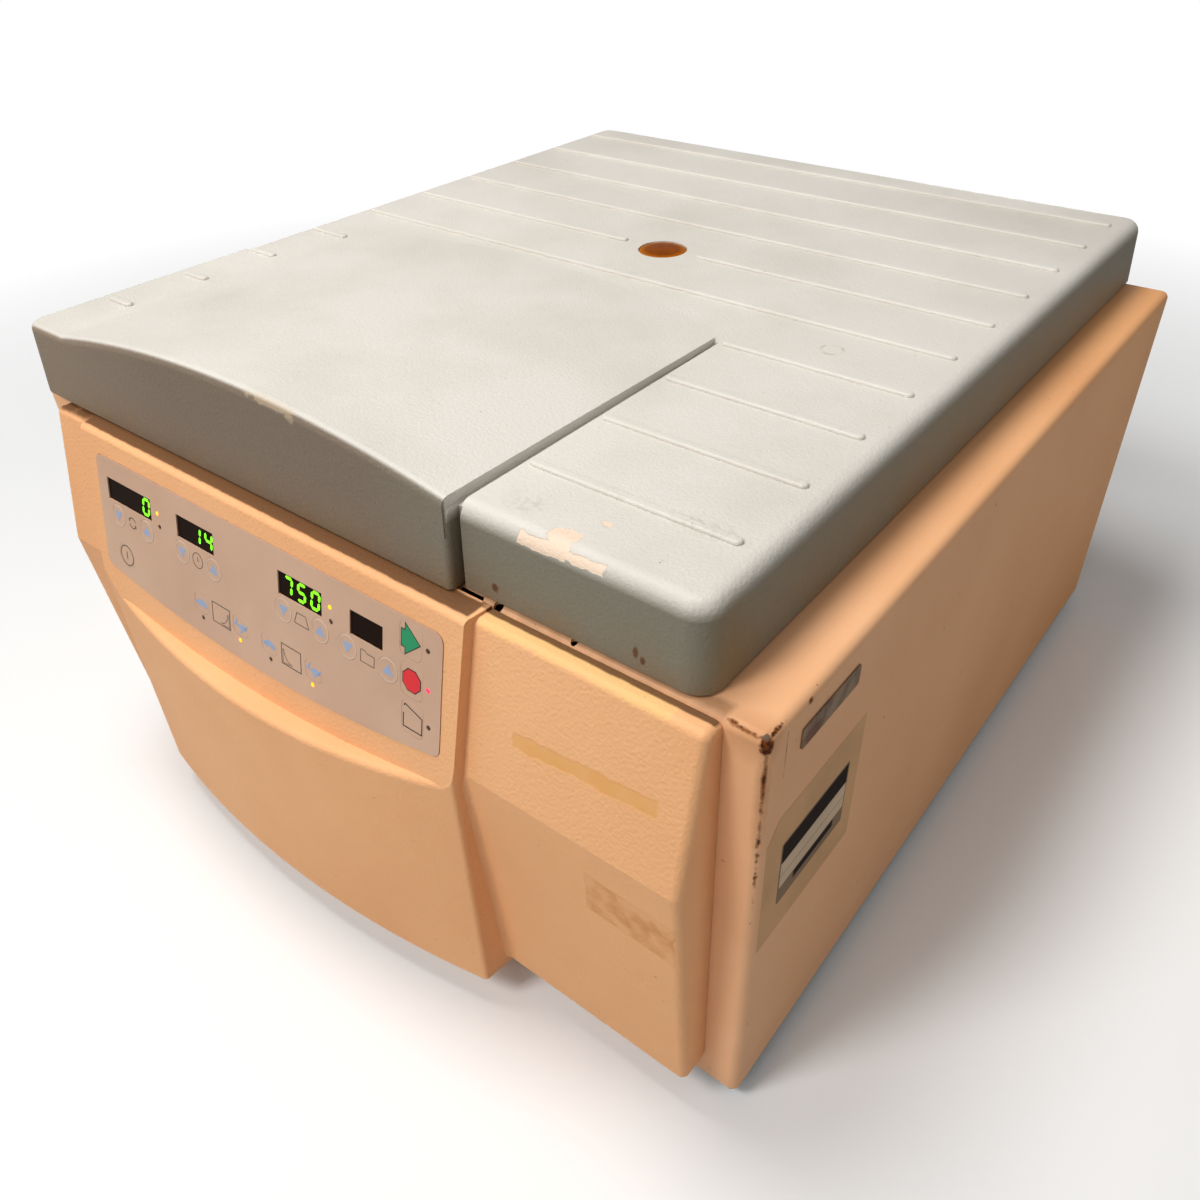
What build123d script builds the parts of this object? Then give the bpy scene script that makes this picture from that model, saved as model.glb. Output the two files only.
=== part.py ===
from build123d import *
import math
import os

os.makedirs("parts", exist_ok=True)

# ---------------------------------------------------------------- dimensions
# millimetres, +Z up, -Y is the front of the instrument, origin under the
# middle of the footprint
FIT = 0.3               # between pieces that only rest against each other
RUN = 0.06              # radial play of a pin that turns in a hole
PRESS = 0.02            # radial gap of a pressed pin

DECK = 260.0            # top face of the deck
SHEET = 1.5
AXIS_X, AXIS_Y = -13.5, 48.5     # rotor axis, sight port above it
PORT_R = 15.5

BOWL_R = 192.0
BOWL_DEPTH = 148.0
BOWL_T = 1.5
BOWL_FLOOR = DECK - SHEET - BOWL_DEPTH
RIM_R = BOWL_R + 13.0            # deck opening
FLANGE_R = RIM_R + 7.0

# the steel cabinet is built round the bowl
CAB_X = FLANGE_R + 33.0          # half width
CAB_FRONT = AXIS_Y - FLANGE_R - 84.5
CAB_BACK = AXIS_Y + FLANGE_R + 9.7
CAB_BOTTOM = 12.0
COL_LEFT = -CAB_X + 27.0         # inner edges of the two front returns
COL_RIGHT = CAB_X - 19.0

LID_L, LID_R = -CAB_X + 3.6, CAB_X - 27.5     # lid at its lower edge
LID_BACK = CAB_BACK + 11.4
LID_FRONT_R = CAB_FRONT + 1.8    # right hand part
LID_FRONT_L = CAB_FRONT - 4.2    # part under the bonnet
LID_BOTTOM = DECK + 1.5
LID_TOP = LID_BOTTOM + 39.8
LINER_Z = DECK + 4.6             # underside of the inner liner of the lid
DRAFT = 2.3                      # per side over the lid height
LID_WALL = 5.0
STEP_X = 93.4                    # line where the bonnet meets the right part
RIB_PITCH = 50.0
RIB_AT_PORT = 5                  # the rib that the sight port interrupts
RIB_FIRST = AXIS_Y - RIB_AT_PORT * RIB_PITCH
RIB_END = LID_R - 15.2
RIB_START = LID_L + 12.1
RIB_W, RIB_H = 5.0, 1.8
CROWN = 16.3                     # bonnet above the lid top at the front

HINGE_Y, HINGE_Z = LID_BACK + 7.7, DECK + 6.0
HINGE_X = (-162.0, 138.0)
KNUCKLE_R = 7.2
HINGE_PIN_R = 3.0

PANEL_Y, PANEL_Z = CAB_FRONT - 15.25, DECK - 0.2     # top of the sloping key panel
PANEL_TILT = 12.57
BLOCK_L, BLOCK_R = -176.7, 108.3
BLOCK_BOTTOM, BLOCK_TOP = 23.7, DECK + 0.3
WING_BOTTOM, WING_KNEE, WING_TOP = 29.0, DECK - 80.2, DECK - 1.2
WING_ROUND = 4.0
COVER_T = 3.0
BOW_EDGE, BOW_MID = CAB_FRONT - 33.5, CAB_FRONT - 48.5
SMILE_L, SMILE_MID, SMILE_R = DECK - 88.8, DECK - 101.2, DECK - 81.4    # ledge under the panel

TRUN_Z = DECK - 48.0             # height of the bucket pivots
TRUN_R = 105.0                   # radius of the bucket pivots
TRUN_PIN_R = 4.0
BUCKET_RAD, BUCKET_TAN, BUCKET_H = 54.0, 72.0, 74.0
BUCKET_TOP = 15.0                # bucket rim above its pivot
BOSS = 4.0

LATCH_X = -38.0
STRIKER_Y = CAB_FRONT + 17.0
HOOK_Y, HOOK_Z = STRIKER_Y + 14.0, DECK - 57.0
HOOK_PIN_R = 3.0

def cyl(r, z0, z1, x=0.0, y=0.0):
    return Pos(x, y, (z0 + z1) / 2) * Cylinder(r, z1 - z0)


def box(x0, x1, y0, y1, z0, z1):
    return Pos((x0 + x1) / 2, (y0 + y1) / 2, (z0 + z1) / 2) * Box(x1 - x0, y1 - y0, z1 - z0)


def ring(r0, r1, z0, z1, x=0.0, y=0.0):
    return cyl(r1, z0, z1, x, y) - cyl(r0, z0 - 1, z1 + 1, x, y)


def xcyl(r, x0, x1, y, z):
    return Pos((x0 + x1) / 2, y, z) * Rot(0, 90, 0) * Cylinder(r, x1 - x0)


def ycyl(r, y0, y1, x, z):
    return Pos(x, (y0 + y1) / 2, z) * Rot(90, 0, 0) * Cylinder(r, y1 - y0)


def yz_prism(points, x0, x1):
    """Closed outline of (y, z) points run from x0 to x1."""
    face = make_face(Polyline(*[(x0, p[0], p[1]) for p in points], close=True))
    return Solid.extrude(face.face(), Vector(x1 - x0, 0, 0))


def xz_prism(points, y0, y1):
    face = make_face(Polyline(*[(p[0], y0, p[1]) for p in points], close=True))
    return Solid.extrude(face.face(), Vector(0, y1 - y0, 0))


def xy_prism(points, z0, z1):
    face = make_face(Polyline(*[(p[0], p[1], z0) for p in points], close=True))
    return Solid.extrude(face.face(), Vector(0, 0, z1 - z0))


def soften(shape, edges, radius):
    """Round a list of edges, stepping the radius down when it will not fit."""
    for r in (radius, radius * 0.7, radius * 0.45):
        try:
            out = shape.fillet(r, edges)
        except Exception:
            continue
        if out.is_valid and abs(out.volume) > 1:
            return out
    print("edges left sharp", radius, len(edges))
    return shape


def one(shape):
    """The single solid inside a boolean result."""
    solids = shape.solids()
    return solids[0] if len(solids) == 1 else Compound(children=list(solids))


def common(a, b):
    """The piece two solids share."""
    out = a.intersect(b)
    if isinstance(out, (list, ShapeList)):
        out = sorted(out, key=lambda q: -q.volume)[0]
    return out


def save(name, shape):
    shape.label = name
    export_step(shape, "parts/" + name + ".step")
    print(name, len(shape.solids()), round(shape.volume / 1000, 1))


def group(items):
    return Compound(children=[s for i in items for s in i.solids()])


# ---------------------------------------------------------------- cabinet
def make_shell():
    outer = box(-CAB_X, CAB_X, CAB_FRONT, CAB_BACK, CAB_BOTTOM, DECK)
    front = [e for e in outer.edges().filter_by(Axis.Z) if e.center().Y < CAB_FRONT + 1]
    top = [e for e in outer.edges().group_by(Axis.Z)[-1] if e.center().Y < CAB_BACK - 1]
    outer = soften(outer, front + top, 4.5)
    inner = box(-CAB_X + SHEET, CAB_X - SHEET, CAB_FRONT + SHEET, CAB_BACK + 9,
                CAB_BOTTOM - 9, DECK - SHEET)
    front_in = [e for e in inner.edges().filter_by(Axis.Z) if e.center().Y < CAB_FRONT + 3]
    top_in = [e for e in inner.edges().group_by(Axis.Z)[-1] if e.center().Y < CAB_BACK - 1]
    inner = soften(inner, front_in + top_in, 3.0)
    shell = outer - inner
    # front opening behind the moulded cover, and the turned-in lip below it
    shell -= box(COL_LEFT + 6, COL_RIGHT - 6, CAB_FRONT - 5, CAB_FRONT + 5, 36, DECK - 14)
    # chamber opening and the slot for the lid striker
    shell -= cyl(RIM_R, DECK - 9, DECK + 9, AXIS_X, AXIS_Y)
    shell -= box(LATCH_X - 16, LATCH_X + 16, STRIKER_Y - 6, STRIKER_Y + 7, DECK - 9, DECK + 9)
    # drain notches along the front of the deck
    shell -= cyl(2.4, DECK - 9, DECK + 9, 113.5, CAB_FRONT + 2.2)
    shell -= cyl(1.6, DECK - 9, DECK + 9, 154.0, CAB_FRONT + 2.6)
    shell -= box(91, 105, CAB_FRONT - 1, CAB_FRONT + 3.6, DECK - 9, DECK + 9)
    # rear return flanges that carry the rear panel
    for s in (-1, 1):
        x0 = s * (CAB_X - SHEET)
        x1 = s * (CAB_X - 14)
        shell += box(min(x0, x1), max(x0, x1), CAB_BACK - 4.5, CAB_BACK - 3.0, 40, DECK - 20)
    return one(shell)


def make_pan():
    w = CAB_X - SHEET - FIT
    y0, y1 = CAB_FRONT + SHEET + FIT, CAB_BACK - 3.0
    z0 = 8.0
    pan = box(-w, w, y0, y1, z0, 38)
    pan = soften(pan, pan.edges().filter_by(Axis.Z), 3)
    pan -= box(-w + SHEET, w - SHEET, y0 + SHEET, y1 - SHEET, z0 + SHEET, 60)
    for s in (-1, 1):
        for k in range(6):
            cx = s * (118 + 14 * k)
            pan -= box(cx - 3, cx + 3, 60, 130, z0 - 2, z0 + 3)
    for x, y in FEET:
        pan -= cyl(3.2, z0 - 3, z0 + 3, x, y)
    return one(pan)


FEET = [(sx * (CAB_X - 47), y) for sx in (-1, 1) for y in (CAB_FRONT + 43, CAB_BACK - 42.2)]


def make_feet():
    out = []
    for x, y in FEET:
        foot = Pos(x, y, 0) * Cone(19.0, 16.5, 8.0, align=(Align.CENTER, Align.CENTER, Align.MIN))
        foot = soften(foot, foot.edges().group_by(Axis.Z)[0], 1.2)
        foot -= cyl(6.5, -1, 4.0, x, y)
        foot += cyl(2.9, 7.0, 10.5, x, y)
        out.append(one(foot))
    return group(out)


REAR_Y0 = CAB_BACK - 3.0
INLET = (178.0, 82.0)
FAN = (-150.0, 108.0)


def make_rear():
    w = CAB_X - SHEET - FIT
    panel = box(-w, w, REAR_Y0, REAR_Y0 + SHEET, CAB_BOTTOM, DECK - SHEET - FIT)
    upper = [e for e in panel.edges().filter_by(Axis.Y) if e.center().Z > DECK - 60]
    panel = soften(panel, upper, 4.0)
    panel -= box(INLET[0] - 14.2, INLET[0] + 14.2, REAR_Y0 - 5, REAR_Y0 + 9,
                 INLET[1] - 31.2, INLET[1] + 24.2)
    for k in range(11):
        z = 60 + 11 * k
        slot = box(-12, 108, REAR_Y0 - 5, REAR_Y0 + 9, z, z + 4)
        panel -= soften(slot, slot.edges().filter_by(Axis.Y), 1.9)
    for i in range(-4, 5):
        half = math.sqrt(max(0.0, 46.0 ** 2 - (i * 10) ** 2))
        x = FAN[0] + i * 10
        slot = box(x - 2.6, x + 2.6, REAR_Y0 - 5, REAR_Y0 + 9, FAN[1] - half, FAN[1] + half)
        panel -= slot
    return one(panel)


def make_fan():
    x, z = FAN
    y1 = REAR_Y0 - FIT
    y0 = y1 - 25.0
    body = box(x - 60, x + 60, y0, y1, z - 60, z + 60)
    body = soften(body, body.edges().filter_by(Axis.Y), 6)
    body -= ycyl(55, y0 - 1, y1 + 1, x, z)
    hub = ycyl(20, y0 + 2, y1 - 2, x, z)
    for k in range(4):
        arm = Pos(x, 0, z) * Rot(0, 45 + 90 * k, 0) * box(18, 57, y0 + 2, y0 + 5, -3, 3)
        hub += arm
    for k in range(7):
        blade = Pos(x, 0, z) * Rot(0, 360 / 7 * k, 0) * box(18, 52, y0 + 8, y1 - 4, -1.2, 1.2)
        hub += blade
    return one(body + hub)


def make_inlet():
    x, z = INLET
    y = REAR_Y0 + SHEET
    back = REAR_Y0 - 24
    body = box(x - 13.9, x + 13.9, back, y, z - 31, z + 24)
    flange = box(x - 17, x + 17, y, y + 2.6, z - 34, z + 27)
    flange = soften(flange, flange.edges().filter_by(Axis.Y), 3)
    inlet = body + flange
    socket = [(x - 11.5, z - 28), (x + 11.5, z - 28), (x + 11.5, z - 15), (x + 7, z - 10.5),
              (x - 7, z - 10.5), (x - 11.5, z - 15)]
    inlet -= xz_prism(socket, y + 9, y - 15)
    for dx, dz in ((-7, -22), (7, -22), (0, -16)):
        inlet += box(x + dx - 1, x + dx + 1, y - 16, y + 1, z + dz - 2.5, z + dz + 2.5)
    inlet -= box(x - 10.3, x + 10.3, y - 13, y + 9, z + 1.5, z + 21.5)
    return one(inlet)


ROCKER_Z = INLET[1] + 11.5
ROCKER_Y = REAR_Y0 + SHEET - 3.0


def make_rocker():
    x = INLET[0]
    y, z = ROCKER_Y, ROCKER_Z
    out = [(y + 4.9, z - 8.2), (y + 3.9, z), (y + 6.7, z + 7.7), (y + 5.2, z + 8.4),
           (y - 3, z + 5), (y - 6, z), (y - 3, z - 5), (y + 3.4, z - 8.6)]
    body = yz_prism(out, x - 9.7, x + 9.7)
    pin = xcyl(1.5, x - 10.2, x + 10.2, y, z)
    return one(body + pin)


def make_screws():
    out = []
    spots = [(sx * (CAB_X - 8.5), z) for sx in (-1, 1) for z in (52.0, 140.0, DECK - 32)]
    spots += [(FAN[0] + a * 52.5, FAN[1] + b * 52.5) for a in (-1, 1) for b in (-1, 1)]
    for x, z in spots:
        y = REAR_Y0 + SHEET
        head = ycyl(3.6, y, y + 2.2, x, z)
        head = soften(head, head.faces().sort_by(Axis.Y)[-1].edges(), 1.0)
        head -= box(x - 2.2, x + 2.2, y + 1.2, y + 4, z - 0.5, z + 0.5)
        head -= box(x - 0.5, x + 0.5, y + 1.2, y + 4, z - 2.2, z + 2.2)
        out.append(one(head))
    return group(out)


# ---------------------------------------------------------------- front cover
def panel_point(x, v, out=0.0):
    """Point on the key panel: v down the slope, out in front of it."""
    a = math.radians(PANEL_TILT)
    y = PANEL_Y - v * math.sin(a) - out * math.cos(a)
    z = PANEL_Z - v * math.cos(a) + out * math.sin(a)
    return (x, y, z)


def panel_frame(x, v, out=0.0):
    """Frame lying on the key panel: local X right, Y up the slope, Z outward."""
    return Location(Plane(origin=panel_point(x, v, out), x_dir=(1, 0, 0),
                          z_dir=(0, -math.cos(math.radians(PANEL_TILT)),
                                 math.sin(math.radians(PANEL_TILT)))))


def wing(off):
    back = CAB_FRONT - FIT if not off else CAB_FRONT + 20
    prof = [(back, WING_BOTTOM + off), (CAB_FRONT - 17.5 + off, WING_BOTTOM + off),
            (CAB_FRONT - 27.0 + off, WING_KNEE), (CAB_FRONT - 9.9 + off, WING_TOP - off),
            (back, WING_TOP - off)]
    return yz_prism(prof, COL_LEFT + off, COL_RIGHT - off)


def block(off):
    """Central block: flat sloping panel over a bowed lower face."""
    back = CAB_FRONT - FIT if not off else CAB_FRONT + 20
    z0, z1 = BLOCK_BOTTOM + off, BLOCK_TOP - off
    left, right = BLOCK_L + off, BLOCK_R - off
    ye, ym = BOW_EDGE + off, BOW_MID + off
    p0, p1 = (left - 9.5, back, z0), (left, ye, z0)
    p2, p3 = (right, ye, z0), (right + 3.7, back, z0)
    arc = ThreePointArc(p1, ((left + right) / 2 - 3, ym, z0), p2)
    outline = Wire([Line(p0, p1).edge(), arc.edge(), Line(p2, p3).edge(), Line(p3, p0).edge()])
    prism = Solid.extrude(Face(outline), Vector(0, 0, z1 - z0))
    # ground above the smiling ledge and in front of the panel plane is cut off
    a = math.radians(PANEL_TILT)
    top = (PANEL_Y + 4 * math.tan(a) + off, PANEL_Z + 4)
    low = (PANEL_Y - 110 * math.tan(a) + off, PANEL_Z - 110)
    y_out = BOW_MID - 43.5
    xl, xr = BLOCK_L - 53.3, BLOCK_R + 51.7
    front = yz_prism([top, low, (y_out, low[1]), (y_out, top[1])], xl, xr)
    y_out -= 10
    xl, xr, z_up = BLOCK_L - 13.3, BLOCK_R + 9.7, DECK + 40
    q0, q1 = (xl, y_out, SMILE_L - off), (xr, y_out, SMILE_R - off)
    smile = ThreePointArc(q0, ((xl + xr) / 2 - 14, y_out, SMILE_MID - off), q1)
    sky = Wire([smile.edge(), Line(q1, (xr, y_out, z_up)).edge(),
                Line((xr, y_out, z_up), (xl, y_out, z_up)).edge(),
                Line((xl, y_out, z_up), q0).edge()])
    above = Solid.extrude(Face(sky), Vector(0, 120, 0))
    return prism - common(front, above)


DISPLAYS = {  # centre x, width, as seen through the windows of the overlay
    1: (-138.7, 41.2), 2: (-78.9, 31.6), 3: (4.6, 32.2), 4: (51.3, 22.0)}
DISPLAY_V, DISPLAY_H = 28.6, 12.8

KEYS = {}               # node name: x, v, half width, half height
ROW_V, ROUND_KEY, ARROW_STEP = 42.8, 6.4, 13.7
LOW_V = 67.6            # row of the slow and fast keys
for _key, _x in (("speed", -137.9), ("time", -78.0), ("rotor", 5.5), ("program", 52.2)):
    KEYS["key_" + _key + "_down"] = (_x - ARROW_STEP, ROW_V, ROUND_KEY, ROUND_KEY)
    KEYS["key_" + _key + "_up"] = (_x + ARROW_STEP, ROW_V, ROUND_KEY, ROUND_KEY)
KEYS["key_power"] = (-147.5, 65.8, 7.4, 7.4)
KEYS["key_start"] = (80.2, 21.6, 7.0, 9.0)
KEYS["key_stop"] = (81.2, 41.5, 7.0, 9.0)
KEYS["key_lid"] = (82.2, 61.2, 7.0, 9.0)
for _key, _x in (("accel_slow", -77.4), ("accel_fast", -44.2), ("brake_slow", -20.6),
                 ("brake_fast", 13.4)):
    KEYS["key_" + _key] = (_x, LOW_V, 6.2, 5.6)

LEDS = [(-112.4, 28.2), (-111.0, 35.4), (26.4, 27.1), (27.2, 34.3), (-77.2, 76.0), (-45.2, 76.0),
        (-20.0, 76.0), (12.4, 76.0), (90.6, 22.0), (91.4, 41.8), (92.4, 60.8)]

KEY_GAP = 0.3           # round each key cap
KEY_LIP = 0.35          # hidden lip that holds the key under the film
KEY_TRAVEL = 0.4
FILM = 0.8              # overlay thickness
SINK = 0.4              # recess of the overlay in the cover


def overlay_outline(grow, t, out0):
    """Membrane outline with a bowed lower edge, t thick from out0 outward."""
    x0, x1 = BLOCK_L + 8.4 - grow, BLOCK_R - 8.9 + grow
    v0 = 10.8 - grow
    vl, vm, vr = 77.2 + grow, 87.6 + grow, 73.7 + grow
    pl = panel_point(x0, vl, out0)
    pm = panel_point((x0 + x1) / 2 - 12, vm, out0)
    pr = panel_point(x1, vr, out0)
    tl, tr = panel_point(x0, v0, out0), panel_point(x1, v0, out0)
    arc = ThreePointArc(pl, pm, pr)
    face = Face(Wire([arc.edge(), Line(pr, tr).edge(), Line(tr, tl).edge(), Line(tl, pl).edge()]))
    a = math.radians(PANEL_TILT)
    slab = Solid.extrude(face, Vector(0, -math.cos(a) * t, math.sin(a) * t))
    side = [e for e in slab.edges() if e.length < t * 1.2]
    return soften(slab, side, 5.0)


def panel_hole(x, v, w, h, depth, out=2.0):
    return panel_frame(x, v, out - depth / 2) * Box(w, h, depth)


def panel_disc(x, v, r, depth, out=2.0):
    return panel_frame(x, v, out - depth / 2) * Cylinder(r, depth)


def key_form(key, grow, out0, out1):
    """Round key, or a round-cornered one where it is taller than wide."""
    x, v, w, h = KEYS[key]
    where = panel_frame(x, v, (out0 + out1) / 2)
    if w == h:
        return where * Cylinder(w + grow, out1 - out0)
    plate = extrude(RectangleRounded(2 * (w + grow), 2 * (h + grow), 4.0 + grow), out1 - out0)
    return panel_frame(x, v, out0) * plate


def make_overlay():
    film = overlay_outline(0.0, FILM, -SINK)
    for cx, w in DISPLAYS.values():
        film -= panel_hole(cx, DISPLAY_V, w, DISPLAY_H, 6)
    for key in KEYS:
        film -= key_form(key, KEY_GAP, -4, 2)
    for x, v in LEDS:
        film -= panel_disc(x, v, 1.3, 6)
    return one(film)


def make_key(key):
    x, v = KEYS[key][:2]
    cap = key_form(key, 0.0, -SINK - 0.2, FILM - SINK)
    front = cap.faces().sort_by(lambda f: f.center().dot(Vector(0, -1, 0.22)))[-1]
    cap = soften(cap, front.edges(), 0.3)
    lip = key_form(key, KEY_LIP, -SINK - 0.9, -SINK - 0.1)
    stem = panel_frame(x, v, -SINK - 2.9) * Cylinder(2.5, 4.0)
    return one(cap + lip + stem)


def make_cover():
    # the wing's top edge and both of its upright front edges are rounded off together
    plate = wing(0)
    rim = [e for e in plate.edges() if e.center().Y < CAB_FRONT - 5 and e.center().Z > WING_BOTTOM + 3
           and abs(e.center().Z - WING_KNEE) > 1]
    plate = soften(plate, rim, WING_ROUND)
    cover = plate + block(0)
    top = [e for e in cover.edges() if abs(e.center().Z - BLOCK_TOP) < 0.05
           and e.center().Y < CAB_FRONT - 11]
    cover = soften(cover, top, 3.0)
    ledge = [e for e in cover.edges() if e.center().Y < BOW_MID + 5.5
             and abs(e.center().Z - SMILE_MID - 1.7) < 5.5]
    cover = soften(cover, ledge, 3.5)
    for wanted in ((BLOCK_R, BOW_EDGE), (BLOCK_L, BOW_EDGE)):
        side = [e for e in cover.edges() if abs(e.center().X - wanted[0]) < 1.5
                and e.center().Z < SMILE_MID - 38 and e.length > 100]
        cover = soften(cover, side, 3.0)
    cover -= wing(COVER_T)
    cover -= block(COVER_T)
    cover -= overlay_outline(0.25, 6.0, -SINK)
    # wells under the keys, the display windows and the lamps
    for key in KEYS:
        cover -= key_form(key, KEY_LIP + KEY_GAP, -8, 2)
    for cx, w in DISPLAYS.values():
        cover -= panel_hole(cx, DISPLAY_V, w + 0.2, DISPLAY_H + 0.2, 12, 4)
    for x, v in LEDS:
        cover -= panel_disc(x, v, 1.3, 12, 4)
    return one(cover)


def make_displays():
    out = []
    for cx, w in DISPLAYS.values():
        body = panel_frame(cx, DISPLAY_V, -0.3 - 4.0) * Box(w - 0.1, DISPLAY_H - 0.1, 8.0)
        out.append(one(body))
    return group(out)


def make_leds():
    out = []
    for x, v in LEDS:
        led = panel_frame(x, v, 0.2 - 3.5) * Cylinder(1.2, 7.0)
        face = led.faces().sort_by(lambda f: f.center().dot(Vector(0, -1, 0.22)))[-1]
        led = soften(led, face.edges(), 0.5)
        out.append(one(led))
    return group(out)


def make_board():
    wide = BLOCK_R - BLOCK_L - 23
    board = panel_frame((BLOCK_L + BLOCK_R) / 2 - 1.8, 50.0, -9.4) * Box(wide, 72.0, 1.6)
    for x, v, _, _ in KEYS.values():
        board += panel_frame(x, v, -7.2) * Box(6.0, 6.0, 3.0)
    for k in range(3):
        board += panel_frame(-100 + 46 * k, 76.0, -12.2) * Box(30.0, 9.0, 4.2)
    return one(board)


# ---------------------------------------------------------------- lid
def tapered_box(x0, x1, y0, y1, z0, z1, dy_only=False):
    """Box that narrows towards the top by the moulding draft."""
    lower = Face(Wire.make_polygon([(x0, y0, z0), (x1, y0, z0), (x1, y1, z0), (x0, y1, z0)]))
    d = DRAFT
    dr = 0.0 if dy_only else d
    upper = Face(Wire.make_polygon([(x0 + d, y0 + d, z1), (x1 - dr, y0 + d, z1),
                                    (x1 - dr, y1 - d, z1), (x0 + d, y1 - d, z1)]))
    return Solid.make_loft([lower.outer_wire(), upper.outer_wire()], ruled=True)


def arch(y, left, mid, right):
    """Section of the bonnet across the lid at one depth."""
    xl, xr, base = LID_L + 38.4, STEP_X - 1.4, LID_TOP - 14.0
    p0, p1 = (xl, y, LID_TOP + left), (xr, y, LID_TOP + right)
    crown = ThreePointArc(p0, ((xl + xr) / 2 + 3, y, LID_TOP + mid), p1)
    w = Wire([crown.edge(), Line(p1, (xr, y, base)).edge(), Line((xr, y, base), (xl, y, base)).edge(),
              Line((xl, y, base), p0).edge()])
    return w


# rear outline of the bonnet, from the lid's left edge and from its front edge
BONNET_REAR = [(41.9, 132.2), (46.9, 184.2), (53.4, 202.2), (67.2, 216.2), (92.5, 228.2),
               (123.0, 234.7), (173.1, 237.7), (203.0, 235.7), (230.8, 232.2), (263.0, 226.2),
               (298.0, 216.7), (332.6, 200.7)]


def make_bonnet():
    front_y = LID_FRONT_L + DRAFT
    raw = Solid.make_loft([arch(front_y - 30, -0.5, CROWN + 1.7, 4.0),
                           arch(LID_FRONT_L + 244.2, 0.8, 1.6, 1.6)], ruled=True)
    z = LID_TOP - 21.3
    rear = [(LID_L + dx, LID_FRONT_L + dy, z) for dx, dy in BONNET_REAR]
    edge = Spline(*rear)
    c0, c1 = (LID_L + 38.4, front_y - 20, z), (rear[-1][0], front_y - 20, z)
    plan = Wire([edge.edge(), Line(rear[-1], c1).edge(), Line(c1, c0).edge(),
                 Line(c0, rear[0]).edge()])
    limit = Solid.extrude(Face(plan), Vector(0, 0, 60))
    slope = DRAFT / (LID_TOP - LID_BOTTOM)
    zb, zt = LID_TOP - 31.3, LID_TOP + 28.7
    yb = LID_FRONT_L + slope * (zb - LID_BOTTOM)
    yt = LID_FRONT_L + slope * (zt - LID_BOTTOM)
    y_in = AXIS_Y + 11.5
    behind = yz_prism([(yb, zb), (yt, zt), (y_in, zt), (y_in, zb)], LID_L - 18.6, STEP_X + 26.6)
    return common(common(raw, limit), behind)


def lid_outer():
    main = tapered_box(LID_L, LID_R, LID_FRONT_R, LID_BACK, LID_BOTTOM, LID_TOP)
    corner = main.edges().filter_by(lambda e: abs(e.tangent_at(0.5).Z) > 0.9)
    main = soften(main, corner, 12.0)
    rim = [e for e in main.edges() if abs(e.center().Z - LID_TOP) < 0.05]
    main = soften(main, rim, 8.0)
    nose = tapered_box(LID_L, STEP_X - 1.0, LID_FRONT_L, LID_FRONT_L + 152.2, LID_BOTTOM, LID_TOP, True)
    corner = [e for e in nose.edges() if abs(e.tangent_at(0.5).Z) > 0.9
              and e.center().Y < LID_FRONT_L + 52]
    left = [e for e in corner if e.center().X < LID_L + 41]
    right = [e for e in corner if e.center().X > 0]
    nose = soften(nose, left, 12.0)
    nose = soften(nose, right, 3.0)
    # only the left strip keeps its rounded top edge, the bonnet covers the rest
    rim = [e for e in nose.edges() if abs(e.center().Z - LID_TOP) < 0.05
           and (e.center().X < LID_L + 41 or e.center().Y < LID_FRONT_L + 52)
           and e.center().X < STEP_X - 13]
    nose = soften(nose, rim, 8.0)
    return main, nose


def make_lid():
    main, nose = lid_outer()
    bonnet = make_bonnet()
    crest = [e for e in bonnet.edges() if e.center().Y < LID_FRONT_L + 12
             and e.center().Z > LID_TOP + 4]
    bonnet = soften(bonnet, crest, 4.0)
    # groove between the bonnet and the right hand part
    top_cut = box(STEP_X - 2.4, STEP_X + 0.6, LID_FRONT_R - 9, LID_FRONT_R + 194.2,
                  LID_TOP - 2.2, LID_TOP + 9)
    front_cut = box(STEP_X - 1.0, STEP_X + 1.6, LID_FRONT_R - 9, LID_FRONT_R + 4.5,
                    LID_BOTTOM - 1, LID_TOP - 2)
    lid = main - top_cut - front_cut
    lid = lid + nose + bonnet
    for n in range(10):
        y = RIB_FIRST + RIB_PITCH * n
        if n < 4:
            spans = [(STEP_X + 2.6, RIB_END), (RIB_START, LID_L + (32.9 if n < 3 else 42.4))]
        elif n == RIB_AT_PORT:
            spans = [(AXIS_X + 26, RIB_END), (RIB_START, AXIS_X - 28)]
        else:
            spans = [(RIB_START, RIB_END)]
        for x0, x1 in spans:
            rib = Pos((x0 + x1) / 2, y, LID_TOP - 1) * extrude(
                RectangleRounded(x1 - x0, RIB_W, RIB_W / 2 - 0.05), RIB_H + 1)
            top = rib.edges().group_by(Axis.Z)[-1]
            lid = lid + soften(rib, top, 1.3)
    # hollow underside, a little way in from the walls
    w = LID_WALL
    void = box(LID_L + w + 1.6, LID_R - w - 1.6, LID_FRONT_R + w + 1.6, LID_BACK - w - 1.6,
               LID_BOTTOM - 5, LID_TOP - w)
    void = soften(void, void.edges().filter_by(Axis.Z), 8.0)
    lid = lid - void
    # boss round the sight port, its bore and the seat of the lens
    lid = lid + ring(PORT_R, PORT_R + 4, LID_TOP - 20, LID_TOP - 3, AXIS_X, AXIS_Y)
    lid = lid - cyl(PORT_R + 0.05, LID_TOP - 40, LID_TOP + 9, AXIS_X, AXIS_Y)
    return one(lid)


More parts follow.
